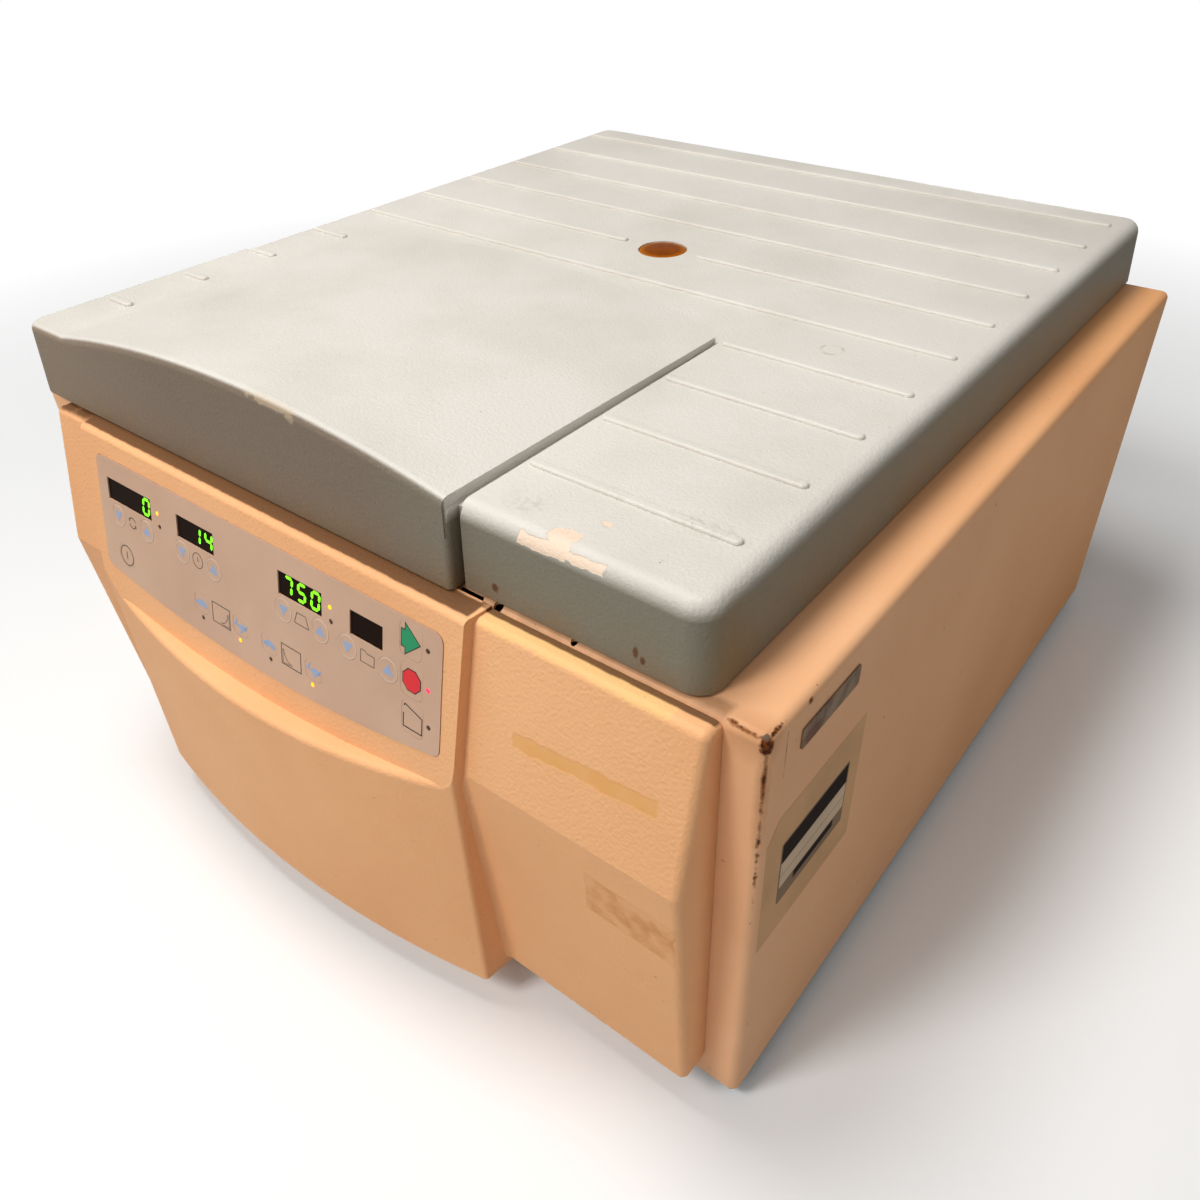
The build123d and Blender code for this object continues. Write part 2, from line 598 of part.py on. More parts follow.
def make_window():
    x, y = AXIS_X, AXIS_Y
    tube = ring(PORT_R - 2.2, PORT_R - 0.05, LINER_Z - 1.8, LID_TOP - 1.4, x, y)
    dome_r = 60.0
    lens = cyl(PORT_R - 0.05, LID_TOP - 4.5, LID_TOP + 3, x, y)
    lens = common(lens, Pos(x, y, LID_TOP - 0.2 - dome_r) * Sphere(dome_r))
    flange = ring(PORT_R - 2.2, PORT_R + 5, LINER_Z - 1.8, LINER_Z, x, y)
    return one(tube + lens + flange)


def make_liner():
    w = LID_WALL + 1.6 + FIT
    liner = box(LID_L + w, LID_R - w, LID_FRONT_R + w, LID_BACK - w, LINER_Z, LINER_Z + 2.5)
    liner = soften(liner, liner.edges().filter_by(Axis.Z), 7.5)
    # stiffening ring pressed up inside the seal line
    liner += ring(150, 153, LINER_Z + 2.5, LINER_Z + 8.5, AXIS_X, AXIS_Y)
    liner += ring(60, 63, LINER_Z + 2.5, LINER_Z + 8.5, AXIS_X, AXIS_Y)
    liner -= cyl(PORT_R, LINER_Z - 9, LINER_Z + 9, AXIS_X, AXIS_Y)
    return one(liner)


def make_striker():
    x, y = LATCH_X, STRIKER_Y
    foot = box(x - 20, x + 20, y - 1.5, y + 20, LINER_Z - 2.0, LINER_Z)
    foot = soften(foot, [e for e in foot.edges().filter_by(Axis.Z) if e.center().Y > y + 5], 4)
    eye = HOOK_Z + 33.5          # lower edge of the eye that the hook's nose enters
    tongue = box(x - 12, x + 12, y - 1.5, y + 1.5, eye - 4.5, LINER_Z - 1)
    low = [e for e in tongue.edges().filter_by(Axis.Y) if e.center().Z < eye]
    tongue = soften(tongue, low, 3)
    tongue -= box(x - 8, x + 8, y - 9, y + 9, eye, eye + 12.5)
    striker = foot + tongue
    for sx in (-13, 13):
        striker += cyl(3.5, LINER_Z - 4.0, LINER_Z - 2.0, x + sx, y + 12)
    return one(striker)


def make_leaves(lid):
    out = []
    for cx in HINGE_X:
        plate = box(cx - 19.5, cx + 19.5, LID_BACK - 4, HINGE_Y - 4.6, HINGE_Z - 2,
                    LID_TOP - 7.3)
        upper = [e for e in plate.edges().filter_by(Axis.Y) if e.center().Z > LID_TOP - 12]
        plate = soften(plate, upper, 5)
        leaf = plate + xcyl(KNUCKLE_R, cx - 19.5, cx + 19.5, HINGE_Y, HINGE_Z)
        leaf -= box(cx - 25, cx + 25, LID_BACK - 30, LID_BACK + 0.02, HINGE_Z - 66, HINGE_Z - 2)
        slope = DRAFT / (LID_TOP - LID_BOTTOM)
        y1 = LID_BACK + 0.02
        y2 = LID_BACK + 0.02 - slope * (LID_TOP - LID_BOTTOM)
        leaf -= yz_prism([(y1, LID_BOTTOM), (y2, LID_TOP), (y2 - 30, LID_TOP), (y1 - 30, LID_BOTTOM)],
                         cx - 30, cx + 30)
        leaf -= xcyl(HINGE_PIN_R + RUN, cx - 30, cx + 30, HINGE_Y, HINGE_Z)
        for dx in (-11, 11):
            head = ycyl(3.5, HINGE_Y - 5, HINGE_Y - 2.9, cx + dx, LID_TOP - 15.3)
            leaf += head
        out.append(one(leaf))
    return group(out)


def make_brackets():
    out = []
    y0 = REAR_Y0 + SHEET
    for cx in HINGE_X:
        plate = box(cx - 30, cx + 30, y0, y0 + 4, HINGE_Z - 60, HINGE_Z - 14)
        plate = soften(plate, [e for e in plate.edges().filter_by(Axis.Y)], 4)
        part = plate
        for s in (-1, 1):
            x0, x1 = cx + s * 19.5 + s * 0.4, cx + s * 25.5
            cheek = yz_prism([(y0 + 2, HINGE_Z - 54), (y0 + 2, HINGE_Z - 20),
                              (HINGE_Y - 5.5, HINGE_Z - 5), (HINGE_Y, HINGE_Z),
                              (HINGE_Y + 7.0, HINGE_Z - 3), (y0 + 9, HINGE_Z - 52)],
                             min(x0, x1), max(x0, x1))
            part += cheek
            part += xcyl(KNUCKLE_R - 0.2, min(x0, x1), max(x0, x1), HINGE_Y, HINGE_Z)
        part -= xcyl(HINGE_PIN_R + PRESS, cx - 40, cx + 40, HINGE_Y, HINGE_Z)
        for dx in (-18, 0, 18):
            for dz in (HINGE_Z - 50, HINGE_Z - 24):
                part += ycyl(3.6, y0 + 4, y0 + 6, cx + dx * 0.6, dz)
        out.append(one(part))
    return group(out)


def make_pins():
    out = []
    for cx in HINGE_X:
        pin = xcyl(HINGE_PIN_R, cx - 26.5, cx + 26.5, HINGE_Y, HINGE_Z)
        pin += xcyl(HINGE_PIN_R + 1.6, cx - 28.5, cx - 26.0, HINGE_Y, HINGE_Z)
        out.append(one(pin))
    return group(out)


BUMPERS = [(LID_L + 19.4, LID_FRONT_R + 24.2), (LID_R - 21.5, LID_FRONT_R + 20.2),
           (LID_L + 19.4, LID_BACK - 29.6), (LID_R - 21.5, LID_BACK - 29.6)]


def make_bumpers():
    out = []
    for x, y in BUMPERS:
        pad = cyl(6.0, DECK, LINER_Z - FIT, x, y)
        out.append(one(soften(pad, pad.edges().group_by(Axis.Z)[-1], 1.2)))
    return group(out)


# ---------------------------------------------------------------- latch
def make_hook():
    y, z = HOOK_Y, HOOK_Z
    arm = [(y - 6, z - 5), (y + 5, z - 6), (y + 6, z + 6), (y + 5, z + 41), (y + 1, z + 45),
           (y - 4, z + 45), (y - 9, z + 41.5), (y - 9, z + 38), (y + 0.5, z + 38), (y - 3.5, z + 8)]
    hook = yz_prism(arm, LATCH_X - 5, LATCH_X + 5)
    hook += xcyl(7.0, LATCH_X - 5, LATCH_X + 5, y, z)
    hook -= xcyl(HOOK_PIN_R + RUN, LATCH_X - 9, LATCH_X + 9, y, z)
    return one(hook)


def make_latch_frame():
    y, z = HOOK_Y, HOOK_Z
    frame = box(LATCH_X - 24, LATCH_X + 24, y + 19, y + 21, z - 20, DECK - SHEET - FIT)
    for s in (-1, 1):
        x0, x1 = LATCH_X + s * 22, LATCH_X + s * 24
        frame += box(min(x0, x1), max(x0, x1), y - 20, y + 21, z - 20, DECK - SHEET - FIT)
        x2 = LATCH_X + s * 42
        frame += box(min(x1, x2), max(x1, x2), y - 20, y + 21, DECK - SHEET - FIT - 2,
                     DECK - SHEET - FIT)
    frame -= ycyl(3.6, y + 10, y + 30, LATCH_X, z + 18)
    frame += xcyl(HOOK_PIN_R, LATCH_X - 26, LATCH_X + 26, y, z)
    for s in (-1, 1):
        x0, x1 = LATCH_X + s * 5.4, LATCH_X + s * 22
        frame += xcyl(5.0, min(x0, x1), max(x0, x1), y, z)
    return one(frame)


def make_solenoid():
    y, z = HOOK_Y + 21, HOOK_Z + 18
    coil = box(LATCH_X - 15, LATCH_X + 15, y, y + 38, z - 14, z + 14)
    coil = soften(coil, coil.edges().filter_by(Axis.Y), 2)
    coil += ycyl(4.0, y + 38, y + 44, LATCH_X, z)
    coil += ycyl(9.0, y + 38, y + 40, LATCH_X, z)
    coil += ycyl(3.0, HOOK_Y + 7.2, y + 1, LATCH_X, z)
    return one(coil)


# ---------------------------------------------------------------- chamber and drive
def make_bowl():
    x, y = AXIS_X, AXIS_Y
    top, floor = DECK - SHEET, BOWL_FLOOR
    r = BOWL_R
    prof = [(FLANGE_R, top), (FLANGE_R, top - BOWL_T), (r + BOWL_T, top - BOWL_T),
            (r + BOWL_T, floor + 22), (r - 18, floor), (46, floor), (34, floor + 9), (24, floor + 9),
            (24, floor + 9 + BOWL_T), (33, floor + 9 + BOWL_T), (45, floor + BOWL_T),
            (r - 18.8, floor + BOWL_T), (r, floor + 22.6), (r, top)]
    face = make_face(Polyline(*[(p[0], 0, p[1] - FIT) for p in prof], close=True))
    bowl = revolve(face, Axis.Z, 360)
    return one(Pos(x, y, 0) * bowl)


def make_gasket():
    z0 = DECK - SHEET - FIT
    body = ring(BOWL_R + 1, RIM_R - 0.6, z0, LINER_Z - FIT, AXIS_X, AXIS_Y)
    body = soften(body, body.edges().group_by(Axis.Z)[-1], 1.6)
    return one(body)


SHAFT_R = 8.0
MOTOR_FOOT = 31.5                # top of the motor's mounting plate
MOTOR_TOP = BOWL_FLOOR - 14.5
FIN_PITCH = 10.0
MOUNT_R = 106.0                  # the four rubber mounts round the motor


def make_motor():
    x, y = AXIS_X, AXIS_Y
    plate = box(x - 90, x + 90, y - 90, y + 90, MOTOR_FOOT - 4, MOTOR_FOOT)
    plate = soften(plate, plate.edges().filter_by(Axis.Z), 14)
    body = cyl(62, MOTOR_FOOT, MOTOR_TOP, x, y)
    body = soften(body, body.edges().group_by(Axis.Z)[-1], 4)
    for k in range(int((MOTOR_TOP - MOTOR_FOOT - 12) / FIN_PITCH)):
        z = MOTOR_FOOT + 10.5 + FIN_PITCH * k
        body -= ring(58.5, 70, z, z + 3.5, x, y)
    motor = plate + body + cyl(20, MOTOR_TOP - 1, MOTOR_TOP + 6, x, y)
    motor -= cyl(SHAFT_R + 0.08, MOTOR_TOP - 30, MOTOR_TOP + 104, x, y)
    for k in range(4):
        a = math.radians(45 + 90 * k)
        motor -= cyl(4.2, 20, 40, x + MOUNT_R * math.cos(a), y + MOUNT_R * math.sin(a))
    return one(motor)


def make_mounts():
    out = []
    for k in range(4):
        a = math.radians(45 + 90 * k)
        x, y = AXIS_X + MOUNT_R * math.cos(a), AXIS_Y + MOUNT_R * math.sin(a)
        bush = cyl(12, 9.5, MOTOR_FOOT - 4, x, y) - ring(9.5, 14, 15.5, 21.5, x, y) + cyl(4.0, 27, 34, x, y)
        bush += cyl(7, 31.5, 35, x, y)
        out.append(one(bush))
    return group(out)


def make_boot():
    z0 = BOWL_FLOOR + 9 + BOWL_T - FIT
    x, y = AXIS_X, AXIS_Y
    boot = ring(SHAFT_R + 3, 32, z0, z0 + 2.5, x, y) + ring(SHAFT_R + 3, 16, z0 + 2, z0 + 9, x, y)
    boot = boot + ring(SHAFT_R + 3, 20, z0 + 4.5, z0 + 6.5, x, y)
    return one(boot)


def make_shaft():
    x, y = AXIS_X, AXIS_Y
    shaft = cyl(SHAFT_R, MOTOR_TOP - 28, TRUN_Z - 6, x, y) + cyl(5.0, TRUN_Z - 7, TRUN_Z + 26, x, y)
    shaft += cyl(14.0, TRUN_Z - 24, TRUN_Z - 19, x, y)
    return one(shaft)


def make_rotor():
    z0, z1 = TRUN_Z - 8.5, TRUN_Z + 8.5
    head = cyl(31, TRUN_Z - 19, TRUN_Z + 13)
    inner, outer = BUCKET_TAN / 2 + BOSS + 1.6, BUCKET_TAN / 2 + BOSS + 12
    tip = TRUN_R + 9.5
    arm = [(16, 4), (68, inner), (tip, inner), (tip, outer), (74, outer), (outer, 74), (outer, tip),
           (inner, tip), (inner, 68), (4, 16)]
    for k in range(4):
        head += Rot(0, 0, 90 * k) * xy_prism(arm, z0, z1)
    heads = [e for e in head.edges().filter_by(Axis.Z) if e.center().X ** 2 + e.center().Y ** 2 > 9000]
    head = soften(head, heads, 3.0)
    # lightening pocket in every arm
    for k in range(4):
        head -= Rot(0, 0, 45 + 90 * k) * cyl(8.0, z0 - 1, z1 + 1, 66.0, 0)
    for k in range(4):
        pins = ycyl(TRUN_PIN_R + PRESS, -outer + 2, outer - 2, TRUN_R, TRUN_Z)
        head -= Rot(0, 0, 90 * k) * pins
    head -= cyl(SHAFT_R + PRESS, TRUN_Z - 30, TRUN_Z - 5.9)
    head -= cyl(5.0 + PRESS, TRUN_Z - 7, TRUN_Z + 30)
    return one(Pos(AXIS_X, AXIS_Y, 0) * head)


def make_trunnions():
    inner = BUCKET_TAN / 2 + 1.6
    outer = BUCKET_TAN / 2 + BOSS + 10
    out = []
    for k in range(4):
        for s in (-1, 1):
            a, b = sorted((s * inner, s * outer))
            pin = Rot(0, 0, 90 * k) * ycyl(TRUN_PIN_R, a, b, TRUN_R, TRUN_Z)
            out.append(one(Pos(AXIS_X, AXIS_Y, 0) * pin))
    return group(out)


def make_nut():
    z = TRUN_Z + 13
    nut = Pos(AXIS_X, AXIS_Y, z) * extrude(RegularPolygon(17, 6), 11)
    nut = nut + cyl(20, z, z + 2.5, AXIS_X, AXIS_Y)
    nut -= cyl(5.0 + PRESS, z - 1, z + 30, AXIS_X, AXIS_Y)
    return one(nut)


def place(k, shape):
    return Pos(AXIS_X, AXIS_Y, 0) * Rot(0, 0, 90 * k) * shape


def make_bucket(k):
    z1 = TRUN_Z + BUCKET_TOP
    z0 = z1 - BUCKET_H
    r, t = BUCKET_RAD / 2, BUCKET_TAN / 2
    body = box(TRUN_R - r, TRUN_R + r, -t, t, z0, z1)
    body = soften(body, body.edges().filter_by(Axis.Z), 6)
    body = soften(body, body.edges().group_by(Axis.Z)[0], 3)
    for s in (-1, 1):
        a, b = sorted((s * t, s * (t + BOSS)))
        body += ycyl(9.0, a, b, TRUN_R, TRUN_Z)
    well = box(TRUN_R - r + 2, TRUN_R + r - 2, -t + 2, t - 2, z0 + 2.5, z1 + 9)
    well = soften(well, well.edges().filter_by(Axis.Z), 4)
    body -= well
    for s in (-1, 1):
        a, b = sorted((s * (t + 1.0), s * (t + BOSS + 3)))
        body -= ycyl(TRUN_PIN_R + RUN, a, b, TRUN_R, TRUN_Z)
    return one(place(k, body))


def make_carrier(k):
    z1 = TRUN_Z + BUCKET_TOP - 6
    z0 = TRUN_Z + BUCKET_TOP - BUCKET_H + 2.5
    r, t = BUCKET_RAD / 2 - 2.4, BUCKET_TAN / 2 - 2.4
    body = box(TRUN_R - r, TRUN_R + r, -t, t, z0, z1)
    body = soften(body, body.edges().filter_by(Axis.Z), 3.8)
    for s in (-1, 1):
        body -= cyl(8.5, z0 + 22, z1 + 2, TRUN_R - 6.5, s * 16.5)
        body -= cyl(3.5, z0 + 12, z0 + 30, TRUN_R - 6.5, s * 16.5)
        body -= box(TRUN_R + 10, TRUN_R + 12.2, s * 16.5 - 13, s * 16.5 + 13, z0 + 4, z1 + 2)
    body -= box(TRUN_R + 16, TRUN_R + 40, -22, 22, z1 - 9, z1 + 2)
    return one(place(k, body))


# ---------------------------------------------------------------- electrics
def make_controller():
    x, y = CAB_X - 125, CAB_FRONT + 16
    board = box(x, x + 108, y, y + 4, 60, 200)
    for x0, x1, z0, z1, d in ((10, 40, 120, 160, 22), (48, 70, 70, 110, 30),
                              (76, 100, 140, 180, 18), (10, 30, 72, 96, 26)):
        board += box(x + x0, x + x1, y + 4, y + 4 + d, z0, z1)
    for k in range(6):
        board += box(x + 48 + 3.4 * k, x + 49.6 + 3.4 * k, y + 4, y + 26, 120, 188)
    for foot in (x + 4, x + 104):
        board += box(foot - 4, foot + 4, y, y + 3.5, 9.5, 66)
        board += box(foot - 4, foot + 4, y, y + 18, 9.5, 11.5)
    return one(board)


def make_supply():
    x0, y0 = CAB_X - 95, CAB_BACK - 120.2
    x1, y1 = x0 + 72, y0 + 56
    core = box(x0, x1, y0, y1, 12.5, 72)
    core = soften(core, core.edges().filter_by(Axis.Z), 3)
    coil = box(x0 + 14, x1 - 14, y0 - 12, y1 + 12, 18, 66)
    coil = soften(coil, coil.edges().filter_by(Axis.Z), 8)
    foot = box(x0 - 8, x1 + 8, y0 + 4, y1 - 4, 9.5, 12.5)
    return one(core + coil + foot)


TAG = (CAB_FRONT + 26.0, CAB_FRONT + 73.5, DECK - 25.4, DECK - 14.6)


def make_tag():
    y0, y1, z0, z1 = TAG
    plate = box(CAB_X, CAB_X + 0.8, y0, y1, z0, z1)
    plate = soften(plate, plate.edges().filter_by(Axis.X), 1.2)
    return one(plate)


# ---------------------------------------------------------------- write
if __name__ == "__main__":
    save("cabinet_shell", make_shell())
    save("base_pan", make_pan())
    save("feet", make_feet())
    save("rear_panel", make_rear())
    save("cooling_fan", make_fan())
    save("power_inlet", make_inlet())
    save("power_rocker", make_rocker())
    save("rear_screws", make_screws())
    save("front_cover", make_cover())
    save("keypad_overlay", make_overlay())
    save("display_modules", make_displays())
    save("indicator_leds", make_leds())
    save("display_board", make_board())
    for key in KEYS:
        save(key, make_key(key))
    lid = make_lid()
    save("lid_shell", lid)
    save("sight_window", make_window())
    save("lid_liner", make_liner())
    save("lid_striker", make_striker())
    save("hinge_leaves", make_leaves(lid))
    save("hinge_brackets", make_brackets())
    save("hinge_pins", make_pins())
    save("lid_bumpers", make_bumpers())
    save("latch_hook", make_hook())
    save("latch_frame", make_latch_frame())
    save("latch_solenoid", make_solenoid())
    save("chamber_bowl", make_bowl())
    save("chamber_gasket", make_gasket())
    save("drive_motor", make_motor())
    save("motor_mounts", make_mounts())
    save("shaft_boot", make_boot())
    save("drive_shaft", make_shaft())
    save("rotor_head", make_rotor())
    save("trunnion_pins", make_trunnions())
    save("rotor_nut", make_nut())
    for n in range(4):
        save("bucket_%d" % (n + 1), make_bucket(n))
        save("slide_carrier_%d" % (n + 1), make_carrier(n))
    save("motor_controller", make_controller())
    save("power_supply", make_supply())
    save("side_tag_plate", make_tag())
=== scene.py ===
import math

import bmesh
import bpy
from mathutils import Matrix, Vector


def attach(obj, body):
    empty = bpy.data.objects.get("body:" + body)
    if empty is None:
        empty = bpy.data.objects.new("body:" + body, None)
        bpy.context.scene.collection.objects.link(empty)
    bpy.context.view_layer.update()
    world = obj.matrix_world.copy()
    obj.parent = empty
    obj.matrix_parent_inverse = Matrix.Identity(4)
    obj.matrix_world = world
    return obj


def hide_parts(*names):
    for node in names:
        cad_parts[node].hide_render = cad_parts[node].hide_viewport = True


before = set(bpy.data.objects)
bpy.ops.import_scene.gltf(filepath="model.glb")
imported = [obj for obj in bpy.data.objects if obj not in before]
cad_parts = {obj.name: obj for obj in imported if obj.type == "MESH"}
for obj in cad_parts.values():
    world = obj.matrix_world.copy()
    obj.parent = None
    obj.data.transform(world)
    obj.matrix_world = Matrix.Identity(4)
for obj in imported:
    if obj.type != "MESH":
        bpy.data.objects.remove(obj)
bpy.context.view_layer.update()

MM = 0.001

# ------------------------------------------------------------ sizes of the instrument
# millimetres, in the frame of the solids: +Z up, -Y towards the operator
AXIS_X, AXIS_Y = -13.5, 48.5                  # rotor axis, with the sight port above it
LID_TOP = 301.3
LID_FOOT, LID_CREST = 261.5, 317.5            # lower edge, and the top of the bonnet's arch
LID_FRONT = -252.2                            # front wall of the bonnet at its lower edge
LID_DRAFT = 2.3 / 39.8                        # lean of the lid's walls
SIDE_FACE = 245.0                             # right side of the cabinet

# places on the sloping key panel: x across, v down the slope from its top edge
PANEL_TOP = Vector((0.0, -263.25, 259.8))     # top edge of the panel
PANEL_TILT = math.radians(12.57)
FILM_FACE = 0.4                               # outer face of the key film above the panel
PRINT_FACE = FILM_FACE + 0.01                 # ink starts a hair above the film
DISPLAY_FACE = -0.3                           # outer face of the display modules
DISPLAY_V = 28.6                              # middle of the displays
ARROW_V = 42.8                                # row of arrow keys
LOW_V = 67.6                                  # row of the slow and fast keys
ARROW_PAIRS = {"speed": -137.9, "time": -78.0, "rotor": 5.5, "program": 52.2}
ARROW_STEP = 13.7                             # from the middle of a pair to either key

# each key's middle (x, v), and half its width and height
KEYS = {"power": (-147.5, 65.8, 7.4, 7.4), "start": (80.2, 21.6, 7.0, 9.0),
        "stop": (81.2, 41.5, 7.0, 9.0), "lid": (82.2, 61.2, 7.0, 9.0)}
for key, x in (("accel_slow", -77.4), ("accel_fast", -44.2), ("brake_slow", -20.6),
               ("brake_fast", 13.4)):
    KEYS[key] = (x, LOW_V, 6.2, 5.6)
for key, x in ARROW_PAIRS.items():
    KEYS[key + "_down"] = (x - ARROW_STEP, ARROW_V, 6.4, 6.4)
    KEYS[key + "_up"] = (x + ARROW_STEP, ARROW_V, 6.4, 6.4)

# lamps of the panel by their paint, each at (x, v)
PANEL_LAMPS = {
    "amber lamp": [(-112.4, 28.2), (26.4, 27.1), (-45.2, 76.0), (12.4, 76.0)],
    "red lamp": [(91.4, 41.8)],
    "dark lamp": [(-111.0, 35.4), (27.2, 34.3), (-77.2, 76.0), (-20.0, 76.0), (90.6, 22.0),
                  (92.4, 60.8)],
}

# lit figures: middle of the display, text, and right edge of its window from that middle
READINGS = ((-138.7, "0", 18.6), (-78.9, "14", 14.3), (4.6, "750", 14.3))
FIGURE_WIDE, FIGURE_HIGH, FIGURE_STROKE = 5.2, 8.9, 1.7
FIGURE_SLANT = 0.12                           # lean to the right for each mm of height
FIGURE_PITCH = 10.0
FIGURE_INSET = 6.6                            # last figure's left side from the window's edge
FIGURE_STROKES = {"0": "abcdef", "1": "bc", "2": "abged", "3": "abgcd", "4": "fgbc",
                  "5": "afgcd", "6": "afgcde", "7": "abc", "8": "abcdefg", "9": "abcdfg"}

# camera: azimuth, elevation and roll in degrees, its place in mm, lens in mm and sideways shift
CAMERA_TURN = (37.98, 37.64, -1.216)
CAMERA_SPOT = (361.6, -477.9, 519.8)
CAMERA_LENS, CAMERA_SENSOR, CAMERA_SHIFT = 30.58, 36.0, -0.0212

# studio lamps: place, aim and width in metres, and power in watts
STUDIO_LAMPS = {
    "overhead lamp": ((-0.25, -0.2, 1.5), (-0.1, -0.1, 0.25), 0.6, 10.5),
    "key lamp": ((-0.45, -1.6, 2.0), (0.0, -0.1, 0.15), 0.7, 25.0),
    "front lamp": ((0.3, -2.2, 1.5), (0.0, -0.1, 0.15), 1.1, 10.0),
    "fill lamp": ((2.2, 0.7, 1.0), (0.0, 0.0, 0.15), 1.4, 8.0),
    "back lamp": ((-0.5, 2.2, 0.22), (0.0, 0.25, 0.15), 0.5, 6.0),
}
AMBIENT, MIRRORED, BACKDROP = 0.13, 0.4, 1.0  # surround for light, for gloss and as it is seen
FLOOR_HALF = 8.0                              # metres
FLOOR_FADE = (0.55, 1.25)                     # metres from the middle where it turns white


# ------------------------------------------------------------ colour and node helpers
def srgb(hex_text):
    """Linear colour from an sRGB hex value."""
    channels = [int(hex_text[i:i + 2], 16) / 255 for i in (1, 3, 5)]
    return tuple(c / 12.92 if c <= 0.04045 else ((c + 0.055) / 1.055) ** 2.4
                 for c in channels) + (1.0,)


def add(tree, kind, settings=None, **links):
    """Adds a node, sets its properties and input values, and links its inputs."""
    made = tree.nodes.new("ShaderNode" + kind)
    for name, value in (settings or {}).items():
        if hasattr(made, name):
            setattr(made, name, value)
        else:
            made.inputs[name].default_value = value
    for name, source in links.items():
        numbered = name[0] == "i" and name[1:].isdigit()
        socket = made.inputs[int(name[1:]) if numbered else name.replace("_", " ")]
        tree.links.new(source, socket)
    return made


def new_material(name, **sockets):
    """Material with one Principled shader and its fixed sockets set."""
    material = bpy.data.materials.new(name)
    material.use_nodes = True
    tree = material.node_tree
    shader = tree.nodes["Principled BSDF"]
    for socket, value in sockets.items():
        shader.inputs[socket.replace("_", " ")].default_value = value
    return material, tree, shader


def place(tree):
    """Object coordinates, which hold the shared frame in metres."""
    return add(tree, "TexCoord").outputs["Object"]


def split(tree, vector):
    """The x, y and z of a vector."""
    parts = add(tree, "SeparateXYZ", i0=vector)
    return [parts.outputs[axis] for axis in "XYZ"]


def from_point(tree, where, centre_mm):
    """The place measured from a point of the shared frame."""
    moved = add(tree, "Mapping", {"vector_type": "TEXTURE"}, Vector=where)
    moved.inputs["Location"].default_value = [c * MM for c in centre_mm]
    return moved


def length(tree, vector):
    """Distance of a point from where its vector is measured."""
    return add(tree, "VectorMath", {"operation": "LENGTH"}, i0=vector).outputs["Value"]


def mixed(tree, factor, first, second):
    """Blend of two colours, each a hex text, a linear colour or a socket."""
    blend = add(tree, "Mix", {"data_type": "RGBA"})
    tree.links.new(factor, blend.inputs["Factor"])
    for socket, value in ((blend.inputs[6], first), (blend.inputs[7], second)):
        if isinstance(value, str):
            value = srgb(value)
        if isinstance(value, tuple):
            socket.default_value = value
        else:
            tree.links.new(value, socket)
    return blend.outputs[2]


def combine(tree, operation, first, second):
    """One step of arithmetic on sockets or numbers."""
    made = add(tree, "Math", {"operation": operation})
    for socket, value in zip(made.inputs, (first, second)):
        if isinstance(value, (int, float)):
            socket.default_value = value
        else:
            tree.links.new(value, socket)
    return made.outputs["Value"]


def largest(tree, masks):
    """The greatest of several masks."""
    total = masks[0]
    for mask in masks[1:]:
        total = combine(tree, "MAXIMUM", total, mask)
    return total


def stained(tree, paint, mask, strength, hex_text):
    """The paint with another colour laid over it, at most as strongly as given."""
    return mixed(tree, combine(tree, "MULTIPLY", mask, strength), paint, hex_text)


def noise(tree, where, size_mm, detail=3.0, rough=0.55):
    """Noise whose blotches are about size_mm across."""
    made = add(tree, "TexNoise", {"Detail": detail, "Roughness": rough}, Vector=where)
    made.inputs["Scale"].default_value = 1.0 / (size_mm * MM)
    return made.outputs["Fac"]


def ramp(tree, value, low, high, out_low=0.0, out_high=1.0):
    """Value rescaled from low..high to out_low..out_high and clamped."""
    made = add(tree, "MapRange", {"clamp": True}, Value=value)
    for name, number in (("From Min", low), ("From Max", high), ("To Min", out_low),
                         ("To Max", out_high)):
        made.inputs[name].default_value = number
    return made.outputs["Result"]


def blotches(tree, where, size_mm, detail, low, high, out_low=0.0, out_high=1.0):
    """Noise of that size, rescaled from low..high to out_low..out_high."""
    return ramp(tree, noise(tree, where, size_mm, detail), low, high, out_low, out_high)


def patch(tree, where, centre, reach, ragged=0.35, grain_mm=6.0, soft=0.06):
    """1 inside a ragged-edged ellipsoid: centre and reach in mm."""
    moved = from_point(tree, where, centre)
    moved.inputs["Scale"].default_value = [r * MM for r in reach]
    edge = combine(tree, "MULTIPLY_ADD", noise(tree, where, grain_mm, 4.0), ragged * 2)
    edge.node.inputs[2].default_value = -ragged
    reach_out = combine(tree, "ADD", length(tree, moved.outputs["Vector"]), edge)
    return ramp(tree, reach_out, 1.0 + soft, 1.0 - soft)


def patches(tree, where, *rows):
    """Several patches as one mask, each a row of the values that patch takes."""
    return largest(tree, [patch(tree, where, *row) for row in rows])


def slab(tree, where, centre, half, soft_mm=1.0, ragged_mm=1.5, turn=0.0):
    """1 inside a box with slightly ragged edges: a strip of tape or a sticker's mark."""
    moved = from_point(tree, where, centre)
    moved.inputs["Rotation"].default_value = (0.0, turn, 0.0)
    size = add(tree, "VectorMath", {"operation": "ABSOLUTE"}, i0=moved.outputs["Vector"])
    wobble = blotches(tree, where, 9.0, 4.0, 0.2, 0.8, -ragged_mm * MM, ragged_mm * MM)
    inside = 1.0
    for part, reach in zip(split(tree, size.outputs["Vector"]), half):
        shifted = combine(tree, "ADD", part, wobble)
        edge = ramp(tree, shifted, (reach + soft_mm / 2) * MM, (reach - soft_mm / 2) * MM)
        inside = combine(tree, "MULTIPLY", edge, inside)
    return inside


def slabs(tree, where, *rows):
    """Several slabs as one mask, each a row of the values that slab takes."""
    return largest(tree, [slab(tree, where, *row) for row in rows])


